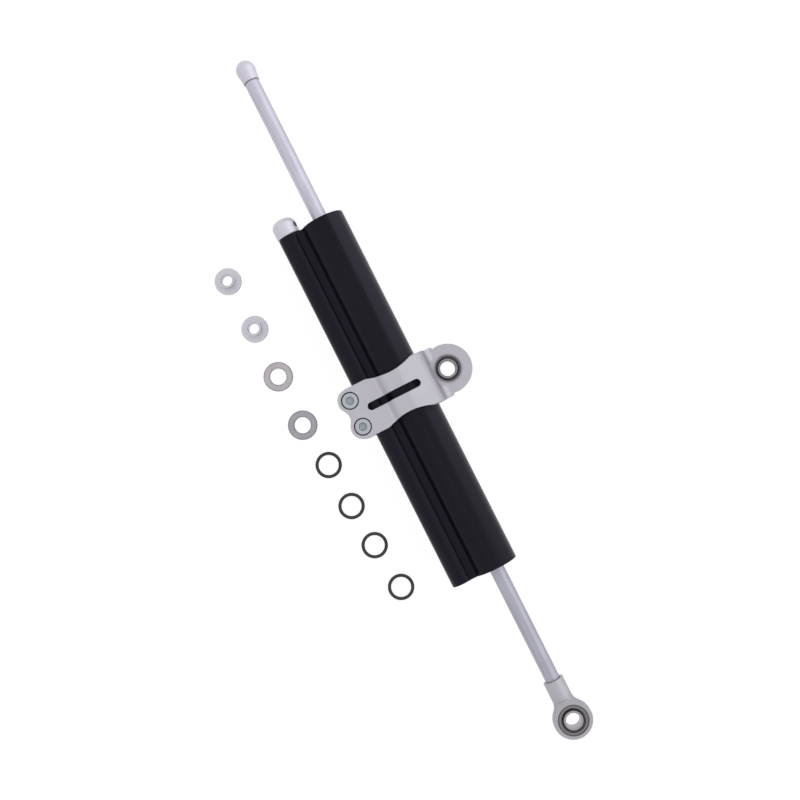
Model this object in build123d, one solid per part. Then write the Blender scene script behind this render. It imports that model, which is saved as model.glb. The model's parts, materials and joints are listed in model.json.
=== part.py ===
from build123d import *
from math import acos, atan2, cos, hypot, radians, sin, sqrt, tan
import os

# Motorcycle steering damper with its loose fitting kit, in millimetres.
# The origin is the centre of the clamp's bearing. +X runs along the damper to its rod end, +Y leaves
# the damper through the clamp's eye, and +Z is up, along the mounting bolt.
# The damper's own pieces are modelled about the middle of the cylinder, on the rod's centre line.
# The clamp's pieces are modelled about the same centre line, at the middle of the clamp.

# clearances and overruns
overrun = 1.0             # how far a cutter runs past the face that it opens
seat_gap = 0.02           # between fixed pieces that touch
running_gap = 0.05        # between pieces that slide or turn on each other
face_gap = 0.3            # between moving pieces that face each other
match_gap = 0.001         # two places closer than this are the same corner

# cylinder, an extrusion with a main barrel and a side channel joined by a web
body_length = 204.0
barrel_radius = 12.0
channel_radius = 6.1
channel_drop = 19.0       # from the barrel's centre line to the channel's
web_half = 4.5
web_fillet = 0.6
end_chamfer = 0.4
bore_radius = 9.0
head_bore_radius = 9.75
head_depth = 25.0
channel_bore_radius = 3.5
cartridge_bore_radius = 4.5
cartridge_depth = 12.0
port_radius = 1.25
port_slope = 27.0         # degrees from the centre line
port_inset = 5.0          # from the seal head's shoulder into the chamber

# retaining rings that hold the seal heads
ring_inset = 1.5
ring_thickness = 1.0
ring_groove_depth = 0.55
ring_width = 2.0
ring_lug_radius = 1.5
ring_eye_radius = 0.6
ring_opening = 36.0       # degrees between the two lugs

# seal heads and what they hold
head_clearance = 0.05
head_groove_inset = 6.0
head_groove_width = 2.4
head_groove_depth = 1.4
rod_hole_gap = 0.15
bush_radius = 5.0
bush_length = 10.0
bush_inset = 0.5
seal_radius = 7.0
seal_length = 4.0
seal_notch = 1.6
spacer_length = 1.5
wiper_length = 4.0
wiper_lip_reach = 1.2
wiper_lip_thickness = 0.6

# rod, piston and piston band
rod_radius = 4.0
rod_left_reach = 82.3     # bare rod between the cylinder and the cap
rod_right_reach = 66.95   # bare rod between the cylinder and the rod end
stud_radius = 3.0
cap_stud_length = 6.5
end_stud_length = 10.0
piston_setback = 8.0      # the piston rests this far left of the middle
piston_length = 14.0
piston_clearance = 0.1
band_width = 6.0
band_thickness = 1.0
band_side_gap = 0.1
backing_depth = 1.0
clip_thickness = 0.8
clip_radius = 5.6
clip_groove_depth = 0.7
clip_opening = 5.0
clip_recess = 1.2
clip_pocket_gap = 0.6     # round the clips, in the piston's recess

# domed cap and its stop ring
cap_radius = 5.25
cap_rim_radius = 4.35
cap_length = 11.7
stop_ring_thickness = 0.5

# rod end
shank_radius = 5.5
shank_length = 12.2       # round length before the flats
shank_mouth_depth = 1.2
rod_eye_radius = 10.5
rod_eye_half = 4.0
rod_eye_reach = 23.3      # from the shank's face to the eye's centre
neck_fillet = 8.0
eye_edge = 0.5            # how much the turned blank rounds the eye's edges

# spherical bearings, one in each eye
race_radius = 8.0
race_width = 5.0
race_chamfer = 0.4
ball_radius = 6.5
ball_width = 8.0
ball_bore_radius = 4.0
ball_bore_chamfer = 0.3
snap_ring_thickness = 1.0
snap_groove_depth = 0.3
snap_ring_inner_radius = 6.6

# clamp
clamp_setback = 2.4       # the clamp sits this far left of the cylinder's middle
clamp_clearance = 0.1
eye_offset = 24.2
clamp_eye_radius = 13.0
lug_half = 4.0
lug_shoulder = 21.4       # from the rod's centre line to the end of the full width
lug_corner = 1.0
clamp_wall = 4.2
clamp_half_height = 16.0
clamp_half_width = 14.0
wall_fillet = 4.0
brow_fillet = 7.0
foot_wall_share = 0.35    # the most of the wall's height that its foot's fillet takes
brow_wall_share = 0.6     # and the most that the fillet at its brow takes
waist_radius = 32.0
waist_half_width = 11.3
waist_offset = 3.7
shoulder_blend = 8.0
flat_reach = 9.0          # the high flat ends this far from the centre line
slope_run = 3.6
slope_blend = 3.0
jaw_half = 11.0
jaw_reach = 10.0          # from the channel's centre line to the screws
screw_spacing = 15.0
lobe_radius = 6.4
notch_radius = 6.1
split_gap = 1.2
slot_width = 4.2
slot_start = 22.2         # towards the screws
slot_end = 8.1            # towards the eye
lip_radius = 6.5
lip_chamfer = 0.7
spotface_radius = 9.5

# clamp screws
screw_radius = 2.5
screw_length = 16.0
screw_head_radius = 4.25
screw_head_height = 5.0
screw_socket = 4.0        # across flats
screw_socket_depth = 2.6
screw_head_chamfer = 0.4
counterbore_gap = 0.4
screw_recess = 0.1
screw_hole_gap = 0.05

# damping adjuster
knob_radius = 6.5
knob_length = 9.5
knob_round = 4.0
knob_rear_chamfer = 0.4
knob_bore_depth = 7.6
click_count = 12
click_radius = 0.5
click_circle = 3.3        # from the spindle's axis to the clicks and the ball
grub_radius = 1.5
grub_length = 3.0
grub_inset = 4.1          # from the knob's rear face
grub_rise = 25.0          # degrees up from level
grub_socket = 1.5
grub_socket_depth = 1.2
spindle_radius = 1.5
spindle_collar_radius = 2.4
spindle_collar_width = 1.2
tongue_thickness = 0.9
tongue_width = 3.4
tongue_length = 3.0
gland_start = 1.2         # from the cartridge's outer face
gland_width = 1.5
gland_radius = 2.4
needle_chamber_start = 3.4
needle_head_radius = 2.45
needle_head_start = 6.2
needle_head_length = 5.0
needle_slot_depth = 2.6
needle_slot_gap = 0.1
needle_stem_radius = 1.1
needle_stem_length = 8.8
needle_tip_radius = 0.25
needle_tip_length = 4.0
cartridge_groove_inset = 1.1
cartridge_groove_width = 1.2
cartridge_groove_depth = 0.9
seat_start = 22.0
seat_length = 4.5
seat_mouth_radius = 1.6
seat_mouth_depth = 1.5
seat_hole_radius = 0.8
ball_pocket_radius = 0.65
ball_pocket_depth = 3.8
detent_ball_radius = 0.6
detent_wire_radius = 0.1
detent_turns = 3

# channel plug
plug_inset = 0.8
plug_length = 7.0
plug_socket = 4.0
plug_socket_depth = 3.5
plug_chamfer = 0.4

# loose fitting kit, lying in a row beside the damper
kit_distance = 59.0
kit_along_shares = (-0.969, -0.679, -0.398, -0.110, 0.141, 0.390, 0.631, 0.892)
kit_across_shares = (1.015, 0.993, 0.997, 0.997, 0.949, 0.931, 0.903, 0.859)
reducer_flange_radius = 7.3
reducer_flange_height = 1.5
reducer_flange_chamfer = 0.4
reducer_barrel_gap = 0.03
reducer_height = 6.0
reducer_bore_radius = 3.0
reducer_mouth_chamfer = 0.4
washer_radius = 8.0
washer_hole_radius = 4.4
washer_height = 1.6
washer_edge = 0.2
ring_section_radius = 0.89
ring_inner_radius = 5.4

# places worked out from the sizes above
half_body = body_length / 2
shoulder_x = half_body - head_depth
head_length = head_depth - ring_inset - ring_thickness - 2 * seat_gap
rim_x = -half_body - rod_left_reach
shank_x = half_body + rod_right_reach
rod_eye_x = shank_x + rod_eye_reach
wall_y = barrel_radius + clamp_clearance + clamp_wall
screw_y = -channel_drop - jaw_reach
knob_rear_x = -half_body - face_gap
rest_z = -clamp_half_height


def bar_x(start, end, radius, drop=0):
    """A round bar along X from start to end, lowered towards -Y by drop."""
    return Pos((start + end) / 2, -drop, 0) * Rot(0, 90, 0) * Cylinder(radius, end - start)


def bar_z(low, high, radius, x=0, y=0):
    """A round bar along Z from low to high."""
    return Pos(x, y, (low + high) / 2) * Cylinder(radius, high - low)


def block(x0, x1, y0, y1, z0, z1):
    """A box between two corners."""
    return Pos((x0 + x1) / 2, (y0 + y1) / 2, (z0 + z1) / 2) * Box(x1 - x0, y1 - y0, z1 - z0)


def turned_x(outline, drop=0):
    """An outline of (x, radius) points turned about a line along X."""
    return Pos(0, -drop, 0) * revolve(make_face(Polyline(*outline, close=True)), Axis.X)


def turned_z(outline):
    """An outline of (radius, z) points turned about Z."""
    return revolve(Plane.XZ * make_face(Polyline(*outline, close=True)), Axis.Z)


def hoop_x(x, ring_radius, section_radius, drop=0):
    """A round-section ring lying square to X."""
    return Pos(x, -drop, 0) * Rot(0, 90, 0) * Torus(ring_radius, section_radius)


def hexagon(across_flats):
    """A hexagon given by its distance across flats."""
    return RegularPolygon(across_flats / 2, 6, major_radius=False)


def nearest(sketch, x, y):
    """The sketch's corner nearest to a point."""
    return sketch.vertices().sort_by_distance((x, y, 0))[0]


def group(*pieces):
    """Several separate solids as one node."""
    return Compound([solid for piece in pieces for solid in piece.solids()])


def mirrored(shape):
    """The same piece at the other end of the cylinder."""
    return mirror(shape, about=Plane.YZ)


def body_section(grow):
    """The extrusion's outline in (y, z), grown by a clearance."""
    section = Circle(barrel_radius + grow)
    section += Pos(-channel_drop, 0) * Circle(channel_radius + grow)
    section += Pos(-channel_drop / 2, 0) * Rectangle(channel_drop, 2 * (web_half + grow))
    corners = [v for v in section.vertices() if abs(abs(v.Y) - web_half - grow) < match_gap]
    return fillet(corners, web_fillet - grow)


def port():
    """The angled drilling that joins the right end of the chamber to the channel."""
    mouth_x = shoulder_x - port_inset
    inside = Vector(mouth_x - bore_radius / 2 / tan(radians(port_slope)), -bore_radius / 2, 0)
    outside = Vector(mouth_x + (channel_drop - bore_radius) / tan(radians(port_slope)), -channel_drop, 0)
    run = outside - inside
    drill = Cylinder(port_radius, run.length, align=(Align.CENTER, Align.CENTER, Align.MIN))
    return Plane(origin=inside, z_dir=run) * drill


def end_cuts():
    """What is machined into the right end of the extrusion."""
    groove_end = half_body - ring_inset
    groove_start = groove_end - ring_thickness - 2 * seat_gap
    cuts = bar_x(shoulder_x, half_body + overrun, head_bore_radius)
    cuts += bar_x(groove_start, groove_end, head_bore_radius + ring_groove_depth)
    cuts += bar_x(half_body - cartridge_depth, half_body + overrun, cartridge_bore_radius, channel_drop)
    return cuts + port()


def cylinder_body():
    body = extrude(Plane.YZ * body_section(0), half_body, both=True)
    faces = body.faces().sort_by(Axis.X)
    body = chamfer(faces[0].edges() + faces[-1].edges(), end_chamfer)
    body -= bar_x(-half_body - overrun, half_body + overrun, bore_radius)
    body -= bar_x(-half_body - overrun, half_body + overrun, channel_bore_radius, channel_drop)
    body -= end_cuts()
    return body - mirrored(end_cuts())


def seal_head():
    """The right seal head, turned about the rod."""
    outer = head_bore_radius - head_clearance
    start = shoulder_x + seat_gap
    end = shoulder_x + head_length
    groove = start + head_groove_inset
    floor = outer - head_groove_depth
    bush_end = start + bush_inset + bush_length
    pocket = end - seal_length - spacer_length - wiper_length
    hole = rod_radius + rod_hole_gap
    outline = [(start, bush_radius), (start, outer), (groove, outer), (groove, floor)]
    outline += [(groove + head_groove_width, floor), (groove + head_groove_width, outer), (end, outer)]
    outline += [(end, seal_radius), (pocket, seal_radius), (pocket, hole), (bush_end, hole)]
    outline += [(bush_end, bush_radius)]
    return turned_x(outline)


def seal_head_o_ring():
    section = (head_groove_depth + head_clearance) / 2 - seat_gap
    middle = shoulder_x + seat_gap + head_groove_inset + head_groove_width / 2
    return hoop_x(middle, head_bore_radius - seat_gap - section, section)


def rod_bush():
    start = shoulder_x + seat_gap + bush_inset
    bush = bar_x(start, start + bush_length - seat_gap, bush_radius - seat_gap)
    return bush - bar_x(start - overrun, start + bush_length, rod_radius + running_gap)


def rod_seal():
    """A lipped seal whose groove faces the oil."""
    start = shoulder_x + head_length - wiper_length - spacer_length - seal_length + seat_gap
    end = start + seal_length - seat_gap
    inner = rod_radius + running_gap
    outer = seal_radius - seat_gap
    lip = (outer - inner) / 3
    outline = [(start, inner), (start, inner + lip), (start + seal_notch, (inner + outer) / 2)]
    outline += [(start, outer - lip), (start, outer), (end, outer), (end, inner)]
    return turned_x(outline)


def seal_spacer():
    start = shoulder_x + head_length - wiper_length - spacer_length + seat_gap
    spacer = bar_x(start, start + spacer_length - seat_gap, seal_radius - seat_gap)
    return spacer - bar_x(start - overrun, start + spacer_length, rod_radius + rod_hole_gap)


def dust_wiper():
    """A wiper with a thin lip that stands out along the rod."""
    start = shoulder_x + head_length - wiper_length + seat_gap
    end = shoulder_x + head_length
    inner = rod_radius + running_gap
    outer = seal_radius - seat_gap
    lip = inner + wiper_lip_thickness
    outline = [(start, inner), (start, outer), (end, outer), (end, (lip + outer) / 2)]
    outline += [(end - wiper_length / 2, lip + wiper_lip_thickness), (end + wiper_lip_reach, lip)]
    outline += [(end + wiper_lip_reach, inner)]
    return turned_x(outline)


def retaining_ring():
    """An internal ring with two eyed lugs, opened by pliers."""
    outer = head_bore_radius + ring_groove_depth - seat_gap
    inner = outer - ring_width
    half_angle = radians(ring_opening / 2)
    reach = outer * 2
    rise = reach * tan(half_angle)
    wedge = make_face(Polyline((0, 0), (reach, rise), (reach, -rise), close=True))
    ring = Circle(outer) - Circle(inner) - wedge
    lug_circle = inner - ring_eye_radius
    lug_angle = half_angle + ring_lug_radius / lug_circle
    for side in (-1, 1):
        centre = Pos(lug_circle * cos(lug_angle), side * lug_circle * sin(lug_angle))
        ring += centre * Circle(ring_lug_radius)
    for side in (-1, 1):
        centre = Pos(lug_circle * cos(lug_angle), side * lug_circle * sin(lug_angle))
        ring -= centre * Circle(ring_eye_radius)
    start = half_body - ring_inset - ring_thickness - seat_gap
    return Pos(start, 0, 0) * extrude(Plane.YZ * Rot(0, 0, 90) * ring, ring_thickness)


def piston_rod():
    """The through rod, with a threaded stud at each end and two grooves that hold the piston."""
    end = shank_x + shank_mouth_depth
    rod = bar_x(rim_x, end, rod_radius)
    rod += bar_x(rim_x - cap_stud_length, rim_x, stud_radius)
    rod += bar_x(end, end + end_stud_length, stud_radius)
    for side in (-1, 1):
        near = -piston_setback + side * (piston_length / 2 - clip_recess)
        far = near + side * (clip_thickness + 2 * seat_gap)
        groove = bar_x(min(near, far), max(near, far), rod_radius + overrun)
        rod -= groove - bar_x(-half_body, half_body, rod_radius - clip_groove_depth)
    return rod


def piston():
    """The piston, grooved for its band and recessed for the clips."""
    outer = bore_radius - piston_clearance
    half = piston_length / 2
    groove = band_width / 2 + band_side_gap
    floor = bore_radius - running_gap - band_thickness - backing_depth
    inner = rod_radius + seat_gap
    recess = clip_radius + clip_pocket_gap
    step = half - clip_recess
    right = [(half, recess), (half, outer), (groove, outer), (groove, floor)]
    left = [(-x, r) for x, r in reversed(right)]
    outline = right + left + [(-step, recess), (-step, inner), (step, inner), (step, recess)]
    return Pos(-piston_setback, 0, 0) * turned_x(outline)


def piston_band():
    half = band_width / 2
    outer = bore_radius - running_gap
    band = bar_x(-half, half, outer) - bar_x(-half - overrun, half + overrun, outer - band_thickness)
    return Pos(-piston_setback, 0, 0) * band


def band_backing_ring():
    section = backing_depth / 2 - seat_gap
    floor = bore_radius - running_gap - band_thickness - backing_depth
    return hoop_x(-piston_setback, floor + backing_depth / 2, section)


def piston_clip(side):
    """One open clip in its groove, on the piston's left or right."""
    clip = Circle(clip_radius) - Circle(rod_radius - clip_groove_depth + seat_gap)
    clip -= Pos(clip_radius / 2, 0) * Rectangle(clip_radius, clip_opening)
    disc = extrude(Plane.YZ * clip, clip_thickness / 2, both=True)
    step = piston_length / 2 - clip_recess + clip_thickness / 2 + seat_gap
    return Pos(-piston_setback + side * step, 0, 0) * disc


def rod_cap():
    """A dome that tapers to its rim, with a blind hole for the rod's stud."""
    centre = rim_x - cap_length + cap_radius
    rim_run = rim_x - centre
    turn = atan2(cap_rim_radius, rim_run) + acos(cap_radius / hypot(rim_run, cap_rim_radius))
    touch_x = centre + cap_radius * cos(turn)
    rim = rim_x - seat_gap
    taper = turned_x([(touch_x, 0), (touch_x, cap_radius * sin(turn)), (rim, cap_rim_radius), (rim, 0)])
    cap = Pos(centre, 0, 0) * Sphere(cap_radius) + taper
    return cap - bar_x(rim_x - cap_stud_length - seat_gap, rim_x + overrun, stud_radius + seat_gap)


def cap_stop_ring():
    ring = bar_x(rim_x, rim_x + stop_ring_thickness, cap_rim_radius)
    return ring - bar_x(rim_x - overrun, rim_x + stop_ring_thickness + overrun, rod_radius + seat_gap)


def rod_end_outline(eye_radius):
    """The rod end's outline in plan, for an eye of the given radius."""
    outline = Pos(shank_x + rod_eye_reach / 2, 0) * Rectangle(rod_eye_reach, 2 * shank_radius)
    outline += Pos(rod_eye_x, 0) * Circle(eye_radius)
    meet = rod_eye_x - sqrt(eye_radius**2 - shank_radius**2)
    corners = [nearest(outline, meet, shank_radius), nearest(outline, meet, -shank_radius)]
    return fillet(corners, neck_fillet)


def rod_end():
    """A turned blank with two flats, an eye for the bearing and a threaded hole for the rod."""
    flats_x = shank_x + shank_length
    blank_radius = hypot(rod_eye_radius - eye_edge, rod_eye_half)
    far = rod_eye_x + blank_radius + overrun
    wide = blank_radius + overrun
    shank_side = block(shank_x - overrun, flats_x, 0, wide, -overrun, overrun)
    eye_side = block(flats_x, far, 0, wide, -overrun, overrun)
    shank = revolve(rod_end_outline(rod_eye_radius) & shank_side, Axis.X)
    eye = revolve(rod_end_outline(blank_radius) & eye_side, Axis.X)
    eye &= extrude(rod_end_outline(rod_eye_radius), rod_eye_half, both=True)
    body = shank + eye
    body -= bar_x(shank_x - overrun, shank_x + shank_mouth_depth + seat_gap, rod_radius + rod_hole_gap)
    thread_end = shank_x + shank_mouth_depth + end_stud_length + seat_gap
    body -= bar_x(shank_x, thread_end, stud_radius + seat_gap)
    body -= bar_z(-rod_eye_half - overrun, rod_eye_half + overrun, race_radius, rod_eye_x)
    groove = snap_ring_thickness + 2 * seat_gap
    mouth = Cone(race_radius, race_radius + 2 * snap_groove_depth, 2 * snap_groove_depth)
    upper = bar_z(race_width / 2, race_width / 2 + groove, race_radius + snap_groove_depth)
    upper += Pos(0, 0, rod_eye_half) * mouth
    for turn in (0, 180):
        body -= Pos(rod_eye_x, 0, 0) * Rot(turn, 0, 0) * upper
    return body


def bearing_race():
    race = bar_z(-race_width / 2, race_width / 2, race_radius - seat_gap)
    race = chamfer(race.edges().filter_by(GeomType.CIRCLE), race_chamfer)
    return race - Sphere(ball_radius + running_gap)


def bearing_ball():
    half = ball_width / 2
    ball = Sphere(ball_radius) & bar_z(-half, half, ball_radius)
    ball -= bar_z(-half - overrun, half + overrun, ball_bore_radius)
    circles = ball.edges().filter_by(GeomType.CIRCLE)
    rims = [rim for rim in circles if abs(rim.radius - ball_bore_radius) < match_gap]
    return chamfer(rims, ball_bore_chamfer)


def snap_ring(side):
    """A flat ring in the groove above or below the bearing."""
    near = race_width / 2 + seat_gap
    far = near + snap_ring_thickness
    low = min(side * near, side * far)
    high = max(side * near, side * far)
    ring = bar_z(low, high, race_radius + snap_groove_depth - seat_gap)
    return ring - bar_z(low - overrun, high + overrun, snap_ring_inner_radius)


def clamp_plan():
    """The clamp seen from above: an eye, a waisted bridge and two screw lobes."""
    bridge_length = lug_shoulder - screw_y
    plan = Pos(0, (lug_shoulder + screw_y) / 2) * Rectangle(2 * clamp_half_width, bridge_length)
    plan = fillet([nearest(plan, side * clamp_half_width, lug_shoulder) for side in (-1, 1)], lug_corner)
    for side in (-1, 1):
        plan -= Pos(side * (waist_half_width + waist_radius), -waist_offset) * Circle(waist_radius)
    bite = sqrt(waist_radius**2 - (waist_half_width + waist_radius - clamp_half_width)**2)
    for side in (-1, 1):
        corners = [nearest(plan, side * clamp_half_width, -waist_offset + up * bite) for up in (-1, 1)]
        plan = fillet(corners, shoulder_blend)
    plan += Pos(0, eye_offset) * Circle(clamp_eye_radius)
    half_spacing = screw_spacing / 2
    notch_y = screw_y - sqrt((lobe_radius + notch_radius)**2 - half_spacing**2)
    web = make_face(Polyline((-half_spacing, screw_y), (half_spacing, screw_y), (0, notch_y), close=True))
    plan += web - Pos(0, notch_y) * Circle(notch_radius)
    for side in (-1, 1):
        plan += Pos(side * half_spacing, screw_y) * Circle(lobe_radius)
    return plan


def clamp_section():
    """The clamp seen along the damper: a thin lug, a high bridge and thick jaws."""
    lug_end = eye_offset + clamp_eye_radius + overrun
    jaw_end = screw_y - lobe_radius - overrun
    top = [(lug_end, lug_half), (wall_y, lug_half), (wall_y, clamp_half_height)]
    top += [(-flat_reach, clamp_half_height), (-flat_reach - slope_run, jaw_half), (jaw_end, jaw_half)]
    bottom = [(y, -z) for y, z in reversed(top)]
    section = make_face(Polyline(*top, *bottom, close=True))
    wall_height = clamp_half_height - lug_half
    foot_radius = min(wall_fillet, foot_wall_share * wall_height)
    brow_radius = min(brow_fillet, brow_wall_share * wall_height)
    rounds = [(wall_y, lug_half, foot_radius), (wall_y, clamp_half_height, brow_radius)]
    rounds += [(-flat_reach, clamp_half_height, slope_blend)]
    rounds += [(-flat_reach - slope_run, jaw_half, slope_blend)]
    for y, z, radius in rounds:
        section = fillet([nearest(section, y, z), nearest(section, y, -z)], radius)
    return section


def clamp_body():
    high = clamp_half_height + overrun
    wide = clamp_half_width + overrun
    body = extrude(Plane.YZ * clamp_section(), wide, both=True)
    body &= extrude(clamp_plan(), high, both=True)
    body -= extrude(Plane.YZ * body_section(clamp_clearance), wide, both=True)
    body -= block(-wide, wide, screw_y - lobe_radius - overrun, -channel_drop, -split_gap / 2, split_gap / 2)
    slot_length = slot_start + slot_end
    slot = Rot(0, 0, 90) * SlotOverall(slot_length, slot_width)
    body -= extrude(Pos(0, (slot_end - slot_start) / 2) * slot, high, both=True)
    head_seat = jaw_half - screw_recess - screw_head_height
    for side in (-1, 1):
        x = side * screw_spacing / 2
        body -= bar_z(-high, high, screw_radius + screw_hole_gap, x, screw_y)
        body -= bar_z(head_seat, high, screw_head_radius + counterbore_gap, x, screw_y)
    return body - clamp_eye_cuts()


def clamp_eye_cuts():
    """The bearing's seat, its front lip, the ring groove at the back and the room round the bolt."""
    race_top = race_width / 2
    low = -lug_half - overrun
    cuts = bar_z(low, race_top, race_radius)
    cuts += bar_z(low, lug_half + overrun, lip_radius)
    groove = race_top + snap_ring_thickness + 2 * seat_gap
    cuts += bar_z(-groove, -race_top, race_radius + snap_groove_depth)
    cone = Cone(lip_radius, lip_radius + 2 * lip_chamfer, 2 * lip_chamfer)
    cuts += Pos(0, 0, lug_half) * cone
    mouth = Cone(race_radius + 2 * snap_groove_depth, race_radius, 2 * snap_groove_depth)
    cuts += Pos(0, 0, -lug_half) * mouth
    cuts += bar_z(lug_half, clamp_half_height + overrun, spotface_radius)
    cuts += bar_z(-clamp_half_height - overrun, -lug_half, spotface_radius)
    return Pos(0, eye_offset, 0) * cuts


def clamp_screw(side):
    """A socket screw, flush in its counterbore."""
    top = jaw_half - screw_recess
    seat = top - screw_head_height + seat_gap
    head = bar_z(seat, top, screw_head_radius)
    head = chamfer(head.edges().filter_by(GeomType.CIRCLE).sort_by(Axis.Z)[-1], screw_head_chamfer)
    screw = head + bar_z(seat - screw_length, seat, screw_radius)
    socket = extrude(hexagon(screw_socket), screw_socket_depth + overrun)
    screw -= Pos(0, 0, top - screw_socket_depth) * socket
    return Pos(side * screw_spacing / 2, screw_y, 0) * screw


def at_channel(shape):
    """Moves a piece from the rod's centre line to the channel's."""
    return Pos(0, -channel_drop, 0) * shape


def adjuster_housing():
    """The threaded cartridge that closes the channel and guides the needle."""
    face = -half_body
    end = face + cartridge_depth - seat_gap
    outer = cartridge_bore_radius - seat_gap
    groove_end = end - cartridge_groove_inset
    groove = groove_end - cartridge_groove_width
    floor = outer - cartridge_groove_depth
    bore = spindle_radius + running_gap
    gland = face + gland_start
    chamber = face + needle_chamber_start
    chamber_radius = needle_head_radius + running_gap
    outline = [(face, bore), (face, outer), (groove, outer), (groove, floor), (groove_end, floor)]
    outline += [(groove_end, outer), (end, outer), (end, chamber_radius), (chamber, chamber_radius)]
    outline += [(chamber, bore), (gland + gland_width, bore), (gland + gland_width, gland_radius)]
    outline += [(gland, gland_radius), (gland, bore)]
    housing = turned_x(outline)
    pocket = bar_x(face - overrun, face + ball_pocket_depth, ball_pocket_radius, click_circle)
    return at_channel(housing - pocket)


def adjuster_housing_o_ring():
    section = cartridge_groove_depth / 2 - seat_gap
    end = -half_body + cartridge_depth - seat_gap
    middle = end - cartridge_groove_inset - cartridge_groove_width / 2
    return hoop_x(middle, cartridge_bore_radius - 2 * seat_gap - section, section, channel_drop)


def spindle_o_ring():
    inner = spindle_radius + running_gap
    section = (gland_radius - inner) / 2 - seat_gap
    middle = -half_body + gland_start + gland_width / 2
    return hoop_x(middle, inner + section, section, channel_drop)


def adjuster_spindle():
    """The knob's spindle, with a collar behind the cartridge's wall and a tongue that drives the needle."""
    start = knob_rear_x - knob_bore_depth + seat_gap
    collar = -half_body + needle_chamber_start + running_gap
    collar_end = collar + spindle_collar_width
    spindle = bar_x(start, collar, spindle_radius) + bar_x(collar, collar_end, spindle_collar_radius)
    half_width = tongue_width / 2
    half_thickness = tongue_thickness / 2
    spindle += block(collar_end, collar_end + tongue_length, -half_width, half_width,
                     -half_thickness, half_thickness)
    return at_channel(spindle)


def adjuster_knob():
    """A round knob with a domed edge, a radial hole for its screw and click dimples at the back."""
    knob = bar_x(knob_rear_x - knob_length, knob_rear_x, knob_radius)
    rims = knob.edges().filter_by(GeomType.CIRCLE).sort_by(Axis.X)
    knob = fillet(rims[0], knob_round)
    rims = knob.edges().filter_by(GeomType.CIRCLE).sort_by(Axis.X)
    knob = chamfer(rims[-1], knob_rear_chamfer)
    knob -= bar_x(knob_rear_x - knob_bore_depth, knob_rear_x + overrun, spindle_radius + seat_gap)
    for click in range(click_count):
        turn = Rot(click * 360 / click_count, 0, 0)
        knob -= turn * Pos(knob_rear_x, -click_circle, 0) * Sphere(click_radius)
    hole = bar_z(0, knob_radius + overrun, grub_radius)
    knob -= Pos(knob_rear_x - grub_inset, 0, 0) * Rot(grub_rise - 90, 0, 0) * hole
    return at_channel(knob)


def knob_grub_screw():
    low = spindle_radius + seat_gap
    screw = bar_z(low, low + grub_length, grub_radius - seat_gap)
    socket = extrude(hexagon(grub_socket), grub_socket_depth + overrun)
    screw -= Pos(0, 0, low + grub_length - grub_socket_depth) * socket
    return at_channel(Pos(knob_rear_x - grub_inset, 0, 0) * Rot(grub_rise - 90, 0, 0) * screw)


def metering_needle():
    """A threaded head with a driving slot, a stem and a tapered tip."""
    start = -half_body + needle_head_start
    stem = start + needle_head_length
    taper = stem + needle_stem_length
    tip = taper + needle_tip_length
    outline = [(start, 0), (start, needle_head_radius), (stem, needle_head_radius)]
    outline += [(stem, needle_stem_radius), (taper, needle_stem_radius), (tip, needle_tip_radius), (tip, 0)]
    needle = turned_x(outline)
    half = tongue_thickness / 2 + needle_slot_gap
    wide = needle_head_radius + overrun
    return at_channel(needle - block(start - overrun, start + needle_slot_depth, -wide, wide, -half, half))


def needle_seat():
    """The orifice that the needle closes."""
    start = -half_body + seat_start
    end = start + seat_length
    outer = channel_bore_radius - seat_gap
    outline = [(start, seat_mouth_radius), (start, outer), (end, outer), (end, seat_hole_radius)]
    outline += [(start + seat_mouth_depth, seat_hole_radius)]
    return turned_x(outline, channel_drop)


def detent_ball():
    tip = knob_rear_x + running_gap
    return Pos(tip + detent_ball_radius, -channel_drop - click_circle, 0) * Sphere(detent_ball_radius)


def detent_spring():
    """The click spring, behind the ball in its pocket."""
    start = knob_rear_x + running_gap + 2 * detent_ball_radius + detent_wire_radius
    end = -half_body + ball_pocket_depth - detent_wire_radius
    coil_radius = ball_pocket_radius - detent_wire_radius - running_gap
    pitch = (end - start) / detent_turns
    path = Helix(pitch, end - start, coil_radius)
    wire = Plane(origin=path @ 0, z_dir=path % 0) * Circle(detent_wire_radius)
    coil = sweep(wire, path=path, is_frenet=True)
    return Pos(start, -channel_drop - click_circle, 0) * Rot(0, 90, 0) * coil


def channel_plug():
    """The threaded plug at the channel's right end, turned by a hexagon key."""
    end = half_body - plug_inset
    start = end - plug_length
    outer = cartridge_bore_radius - seat_gap
    groove = start + cartridge_groove_inset
    floor = outer - cartridge_groove_depth
    outline = [(start, 0), (start, outer), (groove, outer), (groove, floor)]
    outline += [(groove + cartridge_groove_width, floor), (groove + cartridge_groove_width, outer)]
    outline += [(end - plug_chamfer, outer), (end, outer - plug_chamfer), (end, 0)]
    plug = turned_x(outline)
    socket = extrude(Plane.YZ * hexagon(plug_socket), plug_socket_depth + overrun)
    return at_channel(plug - Pos(end - plug_socket_depth, 0, 0) * socket)


def channel_plug_o_ring():
    section = cartridge_groove_depth / 2 - seat_gap
    middle = half_body - plug_inset - plug_length + cartridge_groove_inset + cartridge_groove_width / 2
    return hoop_x(middle, cartridge_bore_radius - 2 * seat_gap - section, section, channel_drop)


def in_row(shape, place):
    """Sets a loose piece down at its place in the kit's row."""
    x = kit_along_shares[place] * half_body
    y = -kit_across_shares[place] * kit_distance
    return Pos(x, y, rest_z) * shape


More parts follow.
